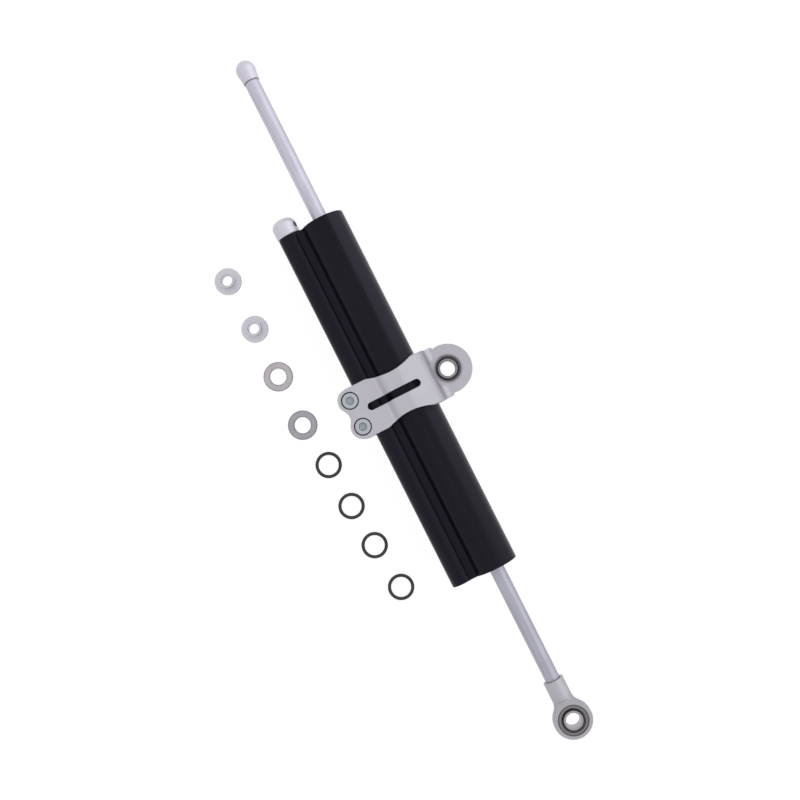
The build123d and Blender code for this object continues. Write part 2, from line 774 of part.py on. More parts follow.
def reducer_bush():
    """A flanged bush that takes the bearing's bore down to a smaller bolt."""
    flange = reducer_flange_radius
    barrel = ball_bore_radius - reducer_barrel_gap
    outline = [(reducer_bore_radius, 0), (flange, 0)]
    outline += [(flange, reducer_flange_height - reducer_flange_chamfer)]
    outline += [(flange - reducer_flange_chamfer, reducer_flange_height), (barrel, reducer_flange_height)]
    outline += [(barrel, reducer_height), (reducer_bore_radius + reducer_mouth_chamfer, reducer_height)]
    outline += [(reducer_bore_radius, reducer_height - reducer_mouth_chamfer)]
    return turned_z(outline)


def plain_washer():
    outline = [(washer_hole_radius, 0), (washer_radius, 0), (washer_radius, washer_height - washer_edge)]
    outline += [(washer_radius - washer_edge, washer_height), (washer_hole_radius, washer_height)]
    return turned_z(outline)


def fitting_o_ring():
    middle = ring_inner_radius + ring_section_radius
    return Pos(0, 0, ring_section_radius) * Torus(middle, ring_section_radius)


def damper_pieces():
    """Every piece that is placed about the middle of the cylinder."""
    pieces = {"cylinder_body": cylinder_body()}
    pieces["seal_head_right"] = seal_head()
    pieces["seal_head_left"] = mirrored(seal_head())
    pieces["retaining_rings"] = group(retaining_ring(), mirrored(retaining_ring()))
    pieces["seal_head_o_rings"] = group(seal_head_o_ring(), mirrored(seal_head_o_ring()))
    pieces["rod_bushes"] = group(rod_bush(), mirrored(rod_bush()))
    pieces["rod_seals"] = group(rod_seal(), mirrored(rod_seal()))
    pieces["seal_spacers"] = group(seal_spacer(), mirrored(seal_spacer()))
    pieces["dust_wipers"] = group(dust_wiper(), mirrored(dust_wiper()))
    pieces["piston_rod"] = piston_rod()
    pieces["piston"] = piston()
    pieces["piston_band"] = piston_band()
    pieces["band_backing_ring"] = band_backing_ring()
    pieces["piston_clips"] = group(piston_clip(-1), piston_clip(1))
    pieces["rod_cap"] = rod_cap()
    pieces["cap_stop_ring"] = cap_stop_ring()
    pieces["rod_end"] = rod_end()
    at_eye = Pos(rod_eye_x, 0, 0)
    pieces["rod_end_race"] = at_eye * bearing_race()
    pieces["rod_end_ball"] = at_eye * bearing_ball()
    pieces["rod_end_snap_rings"] = group(at_eye * snap_ring(1), at_eye * snap_ring(-1))
    pieces["adjuster_housing"] = adjuster_housing()
    pieces["adjuster_housing_o_ring"] = adjuster_housing_o_ring()
    pieces["adjuster_spindle"] = adjuster_spindle()
    pieces["spindle_o_ring"] = spindle_o_ring()
    pieces["adjuster_knob"] = adjuster_knob()
    pieces["knob_grub_screw"] = knob_grub_screw()
    pieces["metering_needle"] = metering_needle()
    pieces["needle_seat"] = needle_seat()
    pieces["detent_ball"] = detent_ball()
    pieces["detent_spring"] = detent_spring()
    pieces["channel_plug"] = channel_plug()
    pieces["channel_plug_o_ring"] = channel_plug_o_ring()
    pieces["reducer_bushes"] = group(*[in_row(reducer_bush(), place) for place in (0, 1)])
    pieces["plain_washers"] = group(*[in_row(plain_washer(), place) for place in (2, 3)])
    pieces["fitting_o_rings"] = group(*[in_row(fitting_o_ring(), place) for place in (4, 5, 6, 7)])
    return pieces


def clamp_pieces():
    """Every piece that is placed about the middle of the clamp."""
    at_eye = Pos(0, eye_offset, 0)
    pieces = {"clamp_body": clamp_body()}
    pieces["clamp_screws"] = group(clamp_screw(-1), clamp_screw(1))
    pieces["clamp_bearing_race"] = at_eye * bearing_race()
    pieces["clamp_bearing_ball"] = at_eye * bearing_ball()
    pieces["clamp_snap_ring"] = at_eye * snap_ring(-1)
    return pieces


os.makedirs("parts", exist_ok=True)
for name, piece in damper_pieces().items():
    export_step(Pos(clamp_setback, -eye_offset, 0) * piece, f"parts/{name}.step")
for name, piece in clamp_pieces().items():
    export_step(Pos(0, -eye_offset, 0) * piece, f"parts/{name}.step")
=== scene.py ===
import json
import math
import bmesh
import bpy
import numpy as np
from mathutils import Matrix, Vector


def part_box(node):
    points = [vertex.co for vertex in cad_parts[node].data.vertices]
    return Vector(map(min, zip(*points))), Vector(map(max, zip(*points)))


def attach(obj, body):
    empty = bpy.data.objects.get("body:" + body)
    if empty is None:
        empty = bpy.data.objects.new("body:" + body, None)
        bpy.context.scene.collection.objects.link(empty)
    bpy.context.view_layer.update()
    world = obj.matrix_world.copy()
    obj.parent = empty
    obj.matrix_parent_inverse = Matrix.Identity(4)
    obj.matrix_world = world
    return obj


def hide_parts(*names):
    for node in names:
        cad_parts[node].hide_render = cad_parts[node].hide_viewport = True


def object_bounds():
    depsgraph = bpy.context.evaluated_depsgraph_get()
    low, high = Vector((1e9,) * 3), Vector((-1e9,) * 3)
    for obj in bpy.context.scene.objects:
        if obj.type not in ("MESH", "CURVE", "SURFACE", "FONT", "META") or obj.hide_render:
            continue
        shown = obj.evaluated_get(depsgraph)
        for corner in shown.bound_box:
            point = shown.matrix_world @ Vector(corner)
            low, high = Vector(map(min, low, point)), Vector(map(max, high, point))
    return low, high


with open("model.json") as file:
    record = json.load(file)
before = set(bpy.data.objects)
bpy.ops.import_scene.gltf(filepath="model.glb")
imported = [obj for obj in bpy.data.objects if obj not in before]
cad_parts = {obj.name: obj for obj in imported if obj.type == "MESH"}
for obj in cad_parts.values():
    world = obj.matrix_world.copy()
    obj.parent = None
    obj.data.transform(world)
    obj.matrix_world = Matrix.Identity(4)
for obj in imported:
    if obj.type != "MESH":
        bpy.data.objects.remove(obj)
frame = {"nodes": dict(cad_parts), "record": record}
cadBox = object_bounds()

# A steering damper on a white table, seen from above.
# Lengths are in millimetres, and mm makes them metres.
mm = 0.001
nodes = frame["nodes"]
replaced = set()
print("frame loaded:", len(nodes), "nodes")


# Places read from the frame

# A node's lowest and highest corner, in millimetres.
def cornersOf(node):
    return np.array(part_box(node)) / mm


def middleOf(node):
    return cornersOf(node).mean(0)


# The centres of a node's separate solids, told apart by the widest gaps between their points along X.
def centresAlong(node, count):
    points = nodePoints(node)
    points = points[np.argsort(points[:, 0])]
    gaps = np.diff(points[:, 0])
    cuts = np.sort(np.argsort(gaps)[-(count - 1):]) + 1
    return [(group.min(0) + group.max(0)) / 2 for group in np.split(points, cuts)]


def nodePoints(node):
    mesh = nodes[node].data
    points = np.empty(len(mesh.vertices) * 3, np.float32)
    mesh.vertices.foreach_get("co", points)
    return points.reshape(-1, 3).astype(float) / mm


rodCentre = middleOf("piston_rod")
channelCentre = middleOf("channel_plug")
clampEye = middleOf("clamp_bearing_ball")
rodEye = middleOf("rod_end_ball")
record = frame["record"]
bodyOf = {node: body for body, held in record["behaviour"]["bodies"].items() for node in held}
slotOf = {part["node"]: part["material_slot"] for part in record["subparts"]}


# Meshes worked out as grids of points

# The four corners of each quad of a grid, as indices into its points laid row by row, and each corner's
# share round and distance along in millimetres. The last column meets the first.
def quadsOf(grid):
    rows, columns = grid.shape[:2]
    steps = np.linalg.norm(np.diff(grid, axis=0), axis=2).mean(1)
    along = np.concatenate([[0], np.cumsum(steps)])
    row, column = np.mgrid[:rows - 1, :columns]
    row = row[..., None] + [0, 0, 1, 1]
    column = column[..., None] + [0, 1, 1, 0]
    corners = row * columns + column % columns
    return corners.reshape(-1, 4), np.stack([column / columns, along[row]], -1).reshape(-1, 2)


joining = {"near": 0.001, "short": 0.0005}     # points this near become one, and edges this short go


# Lays grids of points, each an array of rows, columns and x y z, as one mesh, joins points that meet and
# turns every face outwards.
def layMesh(grids, sharpAngle=40):
    points, quads, maps = [], [], []
    start = 0
    for grid in grids:
        corners, places = quadsOf(grid)
        points.append(grid.reshape(-1, 3))
        quads.append(corners + start)
        maps.append(places)
        start += len(points[-1])
    mesh = bpy.data.meshes.new("laid")
    mesh.from_pydata((np.concatenate(points) * mm).tolist(), [], np.concatenate(quads).tolist())
    layer = mesh.uv_layers.new(name="turned")
    layer.data.foreach_set("uv", np.concatenate(maps).astype(np.float32).ravel())
    closeMesh(mesh)
    mesh.shade_smooth()
    mesh.set_sharp_from_angle(angle=math.radians(sharpAngle))
    return mesh


def closeMesh(mesh):
    work = bmesh.new()
    work.from_mesh(mesh)
    bmesh.ops.remove_doubles(work, verts=work.verts, dist=joining["near"] * mm)
    bmesh.ops.dissolve_degenerate(work, edges=work.edges, dist=joining["short"] * mm)
    bmesh.ops.recalc_face_normals(work, faces=work.faces)
    work.to_mesh(mesh)
    work.free()


# Rounds each corner of a line of (radius, height) points with a curve that starts and ends one radius
# away: point = (1-t)^2 * before + 2t(1-t) * corner + t^2 * after. A point set beside each curve, a share
# of its radius away, keeps the flats flat where the shading is smoothed.
def soften(corners, radii, steps=5, besideShare=0.35):
    corners = np.array(corners, float)
    count = len(corners)
    t = np.linspace(0, 1, steps)[:, None]
    line = []
    for i in range(count):
        if radii[i] == 0:
            line.append(corners[i][None, :])
            continue
        before = corners[i - 1] - corners[i]
        after = corners[(i + 1) % count] - corners[i]
        before /= np.linalg.norm(before)
        after /= np.linalg.norm(after)
        start = corners[i] + before * radii[i]
        end = corners[i] + after * radii[i]
        curve = (1 - t)**2 * start + 2 * t * (1 - t) * corners[i] + t**2 * end
        beside = besideShare * radii[i]
        line.append(np.vstack([start + before * beside, curve, end + after * beside]))
    return np.vstack(line)


# Points of an arc of (radius, height): centre + radius * (cos, sin), between two angles in degrees.
def arcLine(centre, radius, startAngle, endAngle, steps):
    angle = np.radians(np.linspace(startAngle, endAngle, steps))
    return np.stack([centre[0] + radius * np.cos(angle), centre[1] + radius * np.sin(angle)], -1)


sidesOf = {"x": ((1, 0, 0), (0, 1, 0), (0, 0, 1)), "z": ((0, 0, 1), (1, 0, 0), (0, 1, 0))}


# A line of (radius, height) points turned about an axis. Each point is
# centre + height * axis + radius * (cos(angle) * side + sin(angle) * up). Where hexShares is 1 the
# radius is divided by the cosine of the angle from the nearest flat, which makes a hexagon.
def turnLine(line, centre, axis, closed=True, hexShares=None, steps=128):
    angle = np.linspace(0, 2 * np.pi, steps, endpoint=False)
    radius = line[:, :1] * np.ones(steps)
    if hexShares is not None:
        sixth = np.pi / 3
        flat = 1 / np.cos((angle + sixth / 2) % sixth - sixth / 2)
        radius = radius * (1 + np.array(hexShares)[:, None] * (flat - 1))
    along, side, up = (np.array(vector, float) for vector in sidesOf[axis])
    turn = np.cos(angle)[:, None] * side + np.sin(angle)[:, None] * up
    grid = np.array(centre) + line[:, 1][:, None, None] * along + radius[:, :, None] * turn[None]
    if closed:
        grid = np.concatenate([grid, grid[:1]])
    return grid


def newObject(name, data):
    made = bpy.data.objects.new(name, data)
    bpy.context.scene.collection.objects.link(made)
    return made


# Makes the piece's object in its finish, on the body of the node that it stands for.
def setPiece(name, mesh, finish, node):
    piece = newObject(name, mesh)
    mesh.name = name
    mesh.materials.clear()
    mesh.materials.append(finish)
    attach(piece, bodyOf[node])
    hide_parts(node)
    replaced.add(node)
    return piece


# Finishes, made from nodes

# An operator that adds one Math node. Its sides change places where it is reflected.
def mathOperator(operation, reflected=False):
    def operator(self, other):
        first, second = (other, self) if reflected else (self, other)
        return self.sheet.node("ShaderNodeMath", {"operation": operation}, {0: first, 1: second})
    return operator


# A socket that takes part in sums.
class Wire:
    __add__, __radd__ = mathOperator("ADD"), mathOperator("ADD", True)
    __sub__, __rsub__ = mathOperator("SUBTRACT"), mathOperator("SUBTRACT", True)
    __mul__, __rmul__ = mathOperator("MULTIPLY"), mathOperator("MULTIPLY", True)
    __truediv__, __pow__ = mathOperator("DIVIDE"), mathOperator("POWER")
    __gt__, __lt__ = mathOperator("GREATER_THAN"), mathOperator("LESS_THAN")
    largest = mathOperator("MAXIMUM")

    def __init__(self, sheet, made, socket):
        self.sheet = sheet
        self.made = made
        self.socket = socket

    def out(self, name):
        return Wire(self.sheet, self.made, self.made.outputs[name])

    def size(self):
        return self.sheet.node("ShaderNodeMath", {"operation": "ABSOLUTE"}, {0: self})


# One node tree, for a material or the world.
class Sheet:
    def __init__(self, owner):
        owner.use_nodes = True
        self.owner = owner
        self.tree = owner.node_tree
        self.tree.nodes.clear()

    # Adds a node: its settings first, then the values or wires of its sockets.
    def node(self, kind, settings=None, feeds=None):
        made = self.tree.nodes.new(kind)
        for name, value in (settings or {}).items():
            setattr(made, name, value)
        for name, value in (feeds or {}).items():
            self.feed(made, name, value)
        outputs = [socket for socket in made.outputs if socket.enabled]
        return Wire(self, made, outputs[0] if outputs else None)

    # A socket goes by its number, or by its name among the sockets in use.
    def feed(self, made, name, value):
        named = [socket for socket in made.inputs if socket.enabled and socket.name == name]
        socket = named[0] if named else made.inputs[name]
        if isinstance(value, Wire):
            self.tree.links.new(value.socket, socket)
        elif socket.type == "RGBA":
            socket.default_value = (*value, 1)
        else:
            socket.default_value = value

    # The object's own coordinates, in millimetres.
    def place(self):
        return self.scaled(self.node("ShaderNodeTexCoord").out("Object"), 1 / mm)

    def parts(self, vector):
        return self.node("ShaderNodeSeparateXYZ", {}, {0: vector})

    # Noise from 0 to 1 in patches about size millimetres across, times stretch on each axis.
    def noise(self, size, stretch=(1, 1, 1), detail=2, rough=0.5):
        scale = tuple(1 / (size * s) for s in stretch)
        spot = self.node("ShaderNodeVectorMath", {"operation": "MULTIPLY"}, {0: self.place(), 1: scale})
        return self.node("ShaderNodeTexNoise", {}, {"Vector": spot, "Scale": 1, "Detail": detail,
                                                    "Roughness": rough})

    # Noise drawn out along X.
    def streaks(self, width, length, detail=2):
        return self.noise(width, (length / width, 1, 1), detail)

    # Noise drawn out round the X axis.
    def rings(self, width, stretch):
        return self.noise(width, (1, stretch, stretch))

    # The distance along a turned piece's outline, in millimetres.
    def outlinePlace(self):
        return self.parts(self.node("ShaderNodeUVMap", {"uv_map": "turned"})).out("Y")

    # Fine tool lines round a turned piece.
    def turningLines(self, pitch):
        return self.node("ShaderNodeTexNoise", {"noise_dimensions": "1D"},
                         {"W": self.outlinePlace() / pitch, "Scale": 1, "Detail": 3})

    # 0 up to the first value, 1 from the second, and even between them.
    def ramp(self, value, start, end):
        return self.node("ShaderNodeMapRange", {}, {"Value": value, "From Min": start, "From Max": end})

    # A level for each place along a line of (place, level) points, with straight stretches between them.
    def levels(self, value, points):
        start, end = points[0][0], points[-1][0]
        peak = max(level for place, level in points)
        shades = self.node("ShaderNodeValToRGB", {}, {0: self.ramp(value, start, end)})
        stops = shades.made.color_ramp.elements
        while len(stops) < len(points):
            stops.new(1)
        for stop, (place, level) in zip(stops, points):
            stop.position = (place - start) / (end - start)
            stop.color = (*[level / peak] * 3, 1)
        return shades * peak

    def scaled(self, colour, level):
        return self.node("ShaderNodeVectorMath", {"operation": "SCALE"}, {0: colour, "Scale": level})

    def mixColours(self, share, first, second):
        return self.node("ShaderNodeMix", {"data_type": "RGBA"},
                         {"Factor": share, "A": first, "B": second})

    # Two tones of one colour, one a share darker and one a share lighter.
    def tones(self, share, colour, spread):
        darker, lighter = ([c * level for c in colour] for level in (1 - spread, 1 + spread))
        return self.mixColours(share, darker, lighter)

    # The first colour turns into the second along X, and the shade makes them a share darker or lighter.
    def mottled(self, look, shade):
        share = self.ramp(self.parts(self.place()).out("X"), *look["colourRun"])
        plain = self.mixColours(share, *look["colours"])
        return self.scaled(plain, around(1, (shade,), (2 * look["tone"],)))

    # Its relief is the height, from 0 to 1, times the depth in millimetres.
    def surface(self, colour, roughness, height, depth, others=None):
        normal = self.node("ShaderNodeBump", {}, {"Strength": 1, "Distance": depth * mm, "Height": height})
        feeds = {"Base Color": colour, "Roughness": roughness, "Normal": normal, **(others or {})}
        shader = self.node("ShaderNodeBsdfPrincipled", {}, feeds)
        self.node("ShaderNodeOutputMaterial", {}, {"Surface": shader})
        return self.owner

    def metal(self, colour, roughness, height, depth):
        return self.surface(colour, roughness, height, depth, {"Metallic": 1.0})


def newSheet(name):
    return Sheet(bpy.data.materials.new(name))


# Stretches noise about its middle, so that it covers more of 0 to 1.
def spreadOut(wire, gain):
    return (wire - 0.5) * gain + 0.5


# Two noises mixed by the first one's share, and stretched.
def blended(first, second, share, gain=2):
    return spreadOut(first * share + second * (1 - share), gain)


# A level that noises move: level + the sum of move * (noise - 0.5).
def around(level, noises, moves):
    return sum((noise * move for noise, move in zip(noises, moves)), level - sum(moves) / 2)


# A look's roughness, moved by its noises.
def dullness(look, *noises):
    return around(look["roughness"], noises, look["moves"])


# A point seen from an eye's centre: its parts, and its distance from the hole's middle line.
def fromEye(sheet, centre):
    away = sheet.node("ShaderNodeVectorMath", {"operation": "SUBTRACT"},
                      {0: sheet.place(), 1: tuple(centre)})
    parts = sheet.parts(away)
    return parts, (parts.out("X")**2 + parts.out("Y")**2)**0.5


# How near a point is to a ring of a radius about an eye's centre: 1 on the ring and 0 a width away.
def nearRing(sheet, centre, radius, width):
    reach = fromEye(sheet, centre)[1]
    return (1 - (reach - radius).size() / width).largest(0)


blackLook = {"colour": (0.0030, 0.0028, 0.0068), "streakColour": (0.0108, 0.0102, 0.0172),
             "sheenColour": (0.0195, 0.0180, 0.0295), "markColour": (0.034, 0.032, 0.041),
             "specular": 0.15, "specularTint": (0.94, 0.92, 1.0), "roughness": 0.27, "moves": (0.10, 0.10),
             "lineWidth": 0.35, "lineLength": 90, "lineDepth": 0.004, "grainSize": 0.12,
             "grainDepth": 0.002, "streakWidth": 4.5, "streakLength": 220, "streakGain": 3,
             "streakShare": 0.6, "cloudWidth": 16, "cloudLength": 40, "cloudGain": 1.6, "cloudShare": 0.2,
             "mark": 4.1, "markWidth": 0.28, "markRun": (30.0, -40.0),
             "flank": (3.3, 4.4), "flankRun": (160.0, -50.0),
             "channelSide": (-1.2, -4.5), "channelRun": (-60.0, 60.0), "channelSheen": 0.45}


# Black dye over an extrusion: fine die lines and soft streaks lengthwise, and one lighter line beside the
# barrel's top. The flank beyond it is lighter with a painted sheen, most at the left end, and so is the
# channel's far side, most at the right end.
def blackAnodised(name):
    look = blackLook
    sheet = newSheet(name)
    dieLines = sheet.streaks(look["lineWidth"], look["lineLength"])
    streaks = sheet.streaks(look["streakWidth"], look["streakLength"], detail=1)
    clouds = sheet.streaks(look["cloudWidth"], look["cloudLength"])
    grain = sheet.noise(look["grainSize"])
    parts = sheet.parts(sheet.place())
    along, across = parts.out("X"), parts.out("Y")
    fromRod = across - rodCentre[1]
    mark = (1 - (fromRod - look["mark"]).size() / look["markWidth"]).largest(0)
    mark = mark * (parts.out("Z") > 0) * dieLines * sheet.ramp(along, *look["markRun"])
    # Painted sheen: the flank beyond the line is lighter, most at the left end.
    flank = sheet.ramp(fromRod, *look["flank"]) * sheet.ramp(along, *look["flankRun"])
    # Painted sheen on the channel's far side, lighter most at the right end.
    channelSide = sheet.ramp(across - channelCentre[1], *look["channelSide"])
    channelSide = channelSide * sheet.ramp(along, *look["channelRun"]) * look["channelSheen"]
    share = spreadOut(streaks, look["streakGain"]) * look["streakShare"]
    share = (share + spreadOut(clouds, look["cloudGain"]) * look["cloudShare"]).largest(0)
    dye = sheet.mixColours(share, look["colour"], look["streakColour"])
    dye = sheet.mixColours(flank.largest(channelSide), dye, look["sheenColour"])
    dye = sheet.mixColours(mark, dye, look["markColour"])
    relief = dieLines * look["lineDepth"] + grain * look["grainDepth"]
    return sheet.surface(dye, dullness(look, dieLines, clouds), relief, 1,
                         {"Specular IOR Level": look["specular"], "Specular Tint": look["specularTint"]})


blastLook = {"colour": (0.52, 0.505, 0.56), "tone": 0.06, "roughness": 0.60, "moves": (0.08, 0.10),
             "beadSize": 0.22, "beadDepth": 0.010, "speckleSize": 0.55, "speckleShare": 0.5,
             "cloudSize": 11, "paintedShadeColour": (0.22, 0.19, 0.17), "shadeRingRadius": 7.1, "shadeRingWidth": 1.2,
             "shadeGain": 1.5,
             "levels": ((-60, 0.97), (-38.5, 0.98), (-36.2, 1.16), (-34.4, 1.12), (-33, 0.98), (-25, 0.95),
                        (-22.5, 1.07), (-15, 1.08), (-12, 0.93), (-9.5, 0.84), (-8.1, 0.72), (-6.6, 1.02),
                        (-3, 0.94), (12, 0.91))}


# Fine bead marks, with painted shade in a ring round the bearing. Painted light and shade in bands across
# Y: lighter on the slope and before the brow, darker down the brow and darkest at its foot.
def beadBlasted(name):
    look = blastLook
    sheet = newSheet(name)
    beads = sheet.noise(look["beadSize"], detail=1)
    speckle = sheet.noise(look["speckleSize"], detail=3, rough=0.7)
    clouds = sheet.noise(look["cloudSize"])
    tone = sheet.tones(blended(speckle, clouds, look["speckleShare"]), look["colour"], look["tone"])
    # Painted light and shade: bands of brightness across Y over the slope and the brow.
    tone = sheet.scaled(tone, sheet.levels(sheet.parts(sheet.place()).out("Y"), look["levels"]))
    # Painted shade in a ring round the bearing, mottled by the speckle.
    paintedShade = nearRing(sheet, clampEye, look["shadeRingRadius"], look["shadeRingWidth"])
    paintedShade = paintedShade * spreadOut(speckle, look["shadeGain"])
    tone = sheet.mixColours(paintedShade, tone, look["paintedShadeColour"])
    return sheet.metal(tone, dullness(look, clouds, speckle), beads, look["beadDepth"])


silverLook = {"colour": (0.63, 0.612, 0.685), "tone": 0.045, "roughness": 0.50, "moves": (0.08, 0.08),
              "ringWidth": 0.35, "ringStretch": 80, "ringShare": 0.4, "ringDepth": 0.0008,
              "cloudSize": 3.5}


# Silver anodising on the cap and the knob, with soft tool rings round the X axis.
def turnedSilver(name):
    look = silverLook
    sheet = newSheet(name)
    rings = sheet.rings(look["ringWidth"], look["ringStretch"])
    clouds = sheet.noise(look["cloudSize"], detail=3)
    tone = sheet.tones(blended(rings, clouds, look["ringShare"]), look["colour"], look["tone"])
    return sheet.metal(tone, dullness(look, rings, clouds), rings, look["ringDepth"])


turnedLook = {"lineShare": 0.6, "cloudSize": 4, "moves": (0.12, 0.06)}


# Turned metal whose fine tool lines run round the piece.
def turnedMetal(name, colour, roughness, pitch=0.16, depth=0.0015, tone=0.05):
    sheet = newSheet(name)
    lines = sheet.turningLines(pitch)
    clouds = sheet.noise(turnedLook["cloudSize"])
    shade = sheet.tones(blended(lines, clouds, turnedLook["lineShare"]), colour, tone)
    return sheet.metal(shade, around(roughness, (lines, clouds), turnedLook["moves"]), lines, depth)


grainLook = {"share": 0.5, "cloudSize": 6, "tone": 0.06, "moves": (0.10, 0.06)}


# A soft grain under broad clouds: the grain, the colour's tones and the roughness.
def softGrain(sheet, size, colour, roughness):
    grain = sheet.noise(size, detail=3, rough=0.6)
    clouds = sheet.noise(grainLook["cloudSize"])
    tone = sheet.tones(blended(grain, clouds, grainLook["share"]), colour, grainLook["tone"])
    return grain, tone, around(roughness, (grain, clouds), grainLook["moves"])


# Plain metal for pieces that keep their own mesh.
def plainMetal(name, colour, roughness, grainSize, depth=0.003):
    sheet = newSheet(name)
    grain, tone, roughness = softGrain(sheet, grainSize, colour, roughness)
    return sheet.metal(tone, roughness, grain, depth)


chromeLook = {"colours": ((0.54, 0.525, 0.615), (0.40, 0.395, 0.465)), "colourRun": (-60.0, 100.0),
              "tone": 0.20, "roughness": 0.42, "moves": (0.06, 0.14), "ringWidth": 0.12,
              "ringStretch": 60, "relief": 0.0002, "streakWidth": 0.8, "streakLength": 40,
              "streakShare": 0.6, "streakRelief": 2, "mottleWidth": 5, "mottleLength": 15}


# Ground chrome: fine rings from grinding, soft streaks along the rod, and painted shade that darkens its
# right end.
def groundChrome(name):
    look = chromeLook
    sheet = newSheet(name)
    rings = sheet.rings(look["ringWidth"], look["ringStretch"])
    streaks = sheet.streaks(look["streakWidth"], look["streakLength"], detail=3)
    mottle = sheet.streaks(look["mottleWidth"], look["mottleLength"], detail=3)
    # The second colour is painted shade, darker towards the rod's right end.
    tone = sheet.mottled(look, blended(streaks, mottle, look["streakShare"]))
    relief = rings + streaks * look["streakRelief"]
    return sheet.metal(tone, dullness(look, rings, streaks), relief, look["relief"])


ballLook = {"rodEndBall": (0.37, 0.345, 0.375), "clampBall": (0.25, 0.245, 0.255),
            "trackShadeColour": (0.085, 0.080, 0.086), "trackMetal": 0.4, "roughness": 0.32, "moves": (0.12,),
            "pitch": 0.14, "depth": 0.0015, "faceMargin": 0.04, "boreMargin": 0.35}


# The ball's two end faces and bore are bright steel, and its round track is painted dark, as painted shade
# for the gap between ball and race.
def bearingBall(name, centre, faceHalf, boreRadius):
    look = ballLook
    sheet = newSheet(name + "Steel")
    parts, reach = fromEye(sheet, centre)
    onFace = parts.out("Z").size() > faceHalf - look["faceMargin"]
    bright = onFace.largest(reach < boreRadius + look["boreMargin"])
    lines = sheet.turningLines(look["pitch"])
    # Painted shade: the track, seen in the gap round the ball, takes the dark colour.
    tone = sheet.mixColours(bright, look["trackShadeColour"], look[name])
    metallic = bright * (1 - look["trackMetal"]) + look["trackMetal"]
    return sheet.surface(tone, dullness(look, lines), lines, look["depth"], {"Metallic": metallic})


zincLook = {"colour": (0.43, 0.465, 0.495), "tone": 0.07, "socketColour": (0.43, 0.48, 0.50),
            "socketTone": 0.25, "socketGain": 3, "socketEnd": 4.5, "socketDullness": 0.15,
            "roughness": 0.38, "moves": (0.16,), "pitch": 0.2, "depth": 0.001, "lineShare": 0.4,
            "stainSize": 0.9}


# Blue zinc with fine tool lines. The socket, which is the first stretch of the turned outline, is duller.
def blueZinc(name):
    look = zincLook
    sheet = newSheet(name)
    inSocket = sheet.outlinePlace() < look["socketEnd"]
    lines = sheet.turningLines(look["pitch"])
    stains = sheet.noise(look["stainSize"], detail=3)
    head = sheet.tones(blended(lines, stains, look["lineShare"]), look["colour"], look["tone"])
    socket = sheet.tones(spreadOut(stains, look["socketGain"]), look["socketColour"], look["socketTone"])
    roughness = dullness(look, stains) + inSocket * look["socketDullness"]
    return sheet.metal(sheet.mixColours(inSocket, head, socket), roughness, lines, look["depth"])


endLook = {"colour": (0.46, 0.45, 0.49), "eyeLevel": 0.90, "eyeRun": (-16, -10), "roughness": 0.52,
           "grainSize": 0.6, "grainDepth": 0.006, "paintedShadeColour": (0.07, 0.06, 0.06), "shadeRingRadius": 8.0,
           "shadeRingWidth": 0.5, "seamReach": 12.0, "seamWidth": 0.32, "seamHalf": 3.4, "seamFade": 1.2,
           "seamShare": 0.55}


# Matt zinc with a soft grain, darker at the eye, with painted shade in the seam round the bearing and along
# the line where the shank meets the eye's flat.
def mattZinc(name):
    look = endLook
    sheet = newSheet(name)
    grain, tone, roughness = softGrain(sheet, look["grainSize"], look["colour"], look["roughness"])
    parts = sheet.parts(sheet.place())
    along, half, fade = parts.out("X"), look["seamHalf"], look["seamFade"]
    levels = [(rodEye[0] + place, level) for place, level in zip(look["eyeRun"], (1.0, look["eyeLevel"]))]
    tone = sheet.scaled(tone, sheet.levels(along, levels))
    fromSeam = (along - (rodEye[0] - look["seamReach"])).size()
    inside = sheet.ramp((parts.out("Y") - rodEye[1]).size(), half + fade / 2, half - fade)
    seam = (1 - fromSeam / look["seamWidth"]).largest(0) * inside * look["seamShare"]
    # Painted shade: a dark ring round the bearing's seam and a dark line where the shank meets the eye's
    # flat.
    paintedShade = nearRing(sheet, rodEye, look["shadeRingRadius"], look["shadeRingWidth"]).largest(seam)
    tone = sheet.mixColours(paintedShade, tone, look["paintedShadeColour"])
    return sheet.metal(tone, roughness, grain, look["grainDepth"])


ringLook = {"colour": (0.215, 0.20, 0.215), "tone": 0.05, "gain": 2, "roughness": 0.42, "moves": (0.12,),
            "pitch": 0.16, "depth": 0.0015, "shadeRingWidth": 0.55}


# Dull ring steel, with painted shade in the corner at its outer edge.
def shadedRing(name):
    look = ringLook
    sheet = newSheet(name)
    lines = sheet.turningLines(look["pitch"])
    # Painted shade at the ring's outer edge, where it meets the housing.
    paintedShade = nearRing(sheet, rodEye, endLook["shadeRingRadius"], look["shadeRingWidth"])
    tone = sheet.tones(spreadOut(lines, look["gain"]), look["colour"], look["tone"])
    tone = sheet.mixColours(paintedShade, tone, endLook["paintedShadeColour"])
    return sheet.metal(tone, dullness(look, lines), lines, look["depth"])


washerLook = {"colours": ((0.455, 0.432, 0.46), (0.365, 0.352, 0.39)), "colourRun": (-30.0, -17.0),
              "tone": 0.13, "roughness": 0.36, "moves": (0.08, 0.12), "rolledWidth": 0.25,
              "rolledStretch": 30, "rolledDepth": 0.004, "rolledShare": 0.35, "mottleSize": 4}


# Washer steel: rolled lines across the sheet, mottled by handling, and one washer duller than the other.
def stampedSteel(name):
    look = washerLook
    sheet = newSheet(name)
    rolled = sheet.noise(look["rolledWidth"], (1, look["rolledStretch"], 1), detail=3)
    mottle = sheet.noise(look["mottleSize"], detail=3, rough=0.6)
    tone = sheet.mottled(look, blended(rolled, mottle, look["rolledShare"]))
    return sheet.metal(tone, dullness(look, rolled, mottle), rolled, look["rolledDepth"])


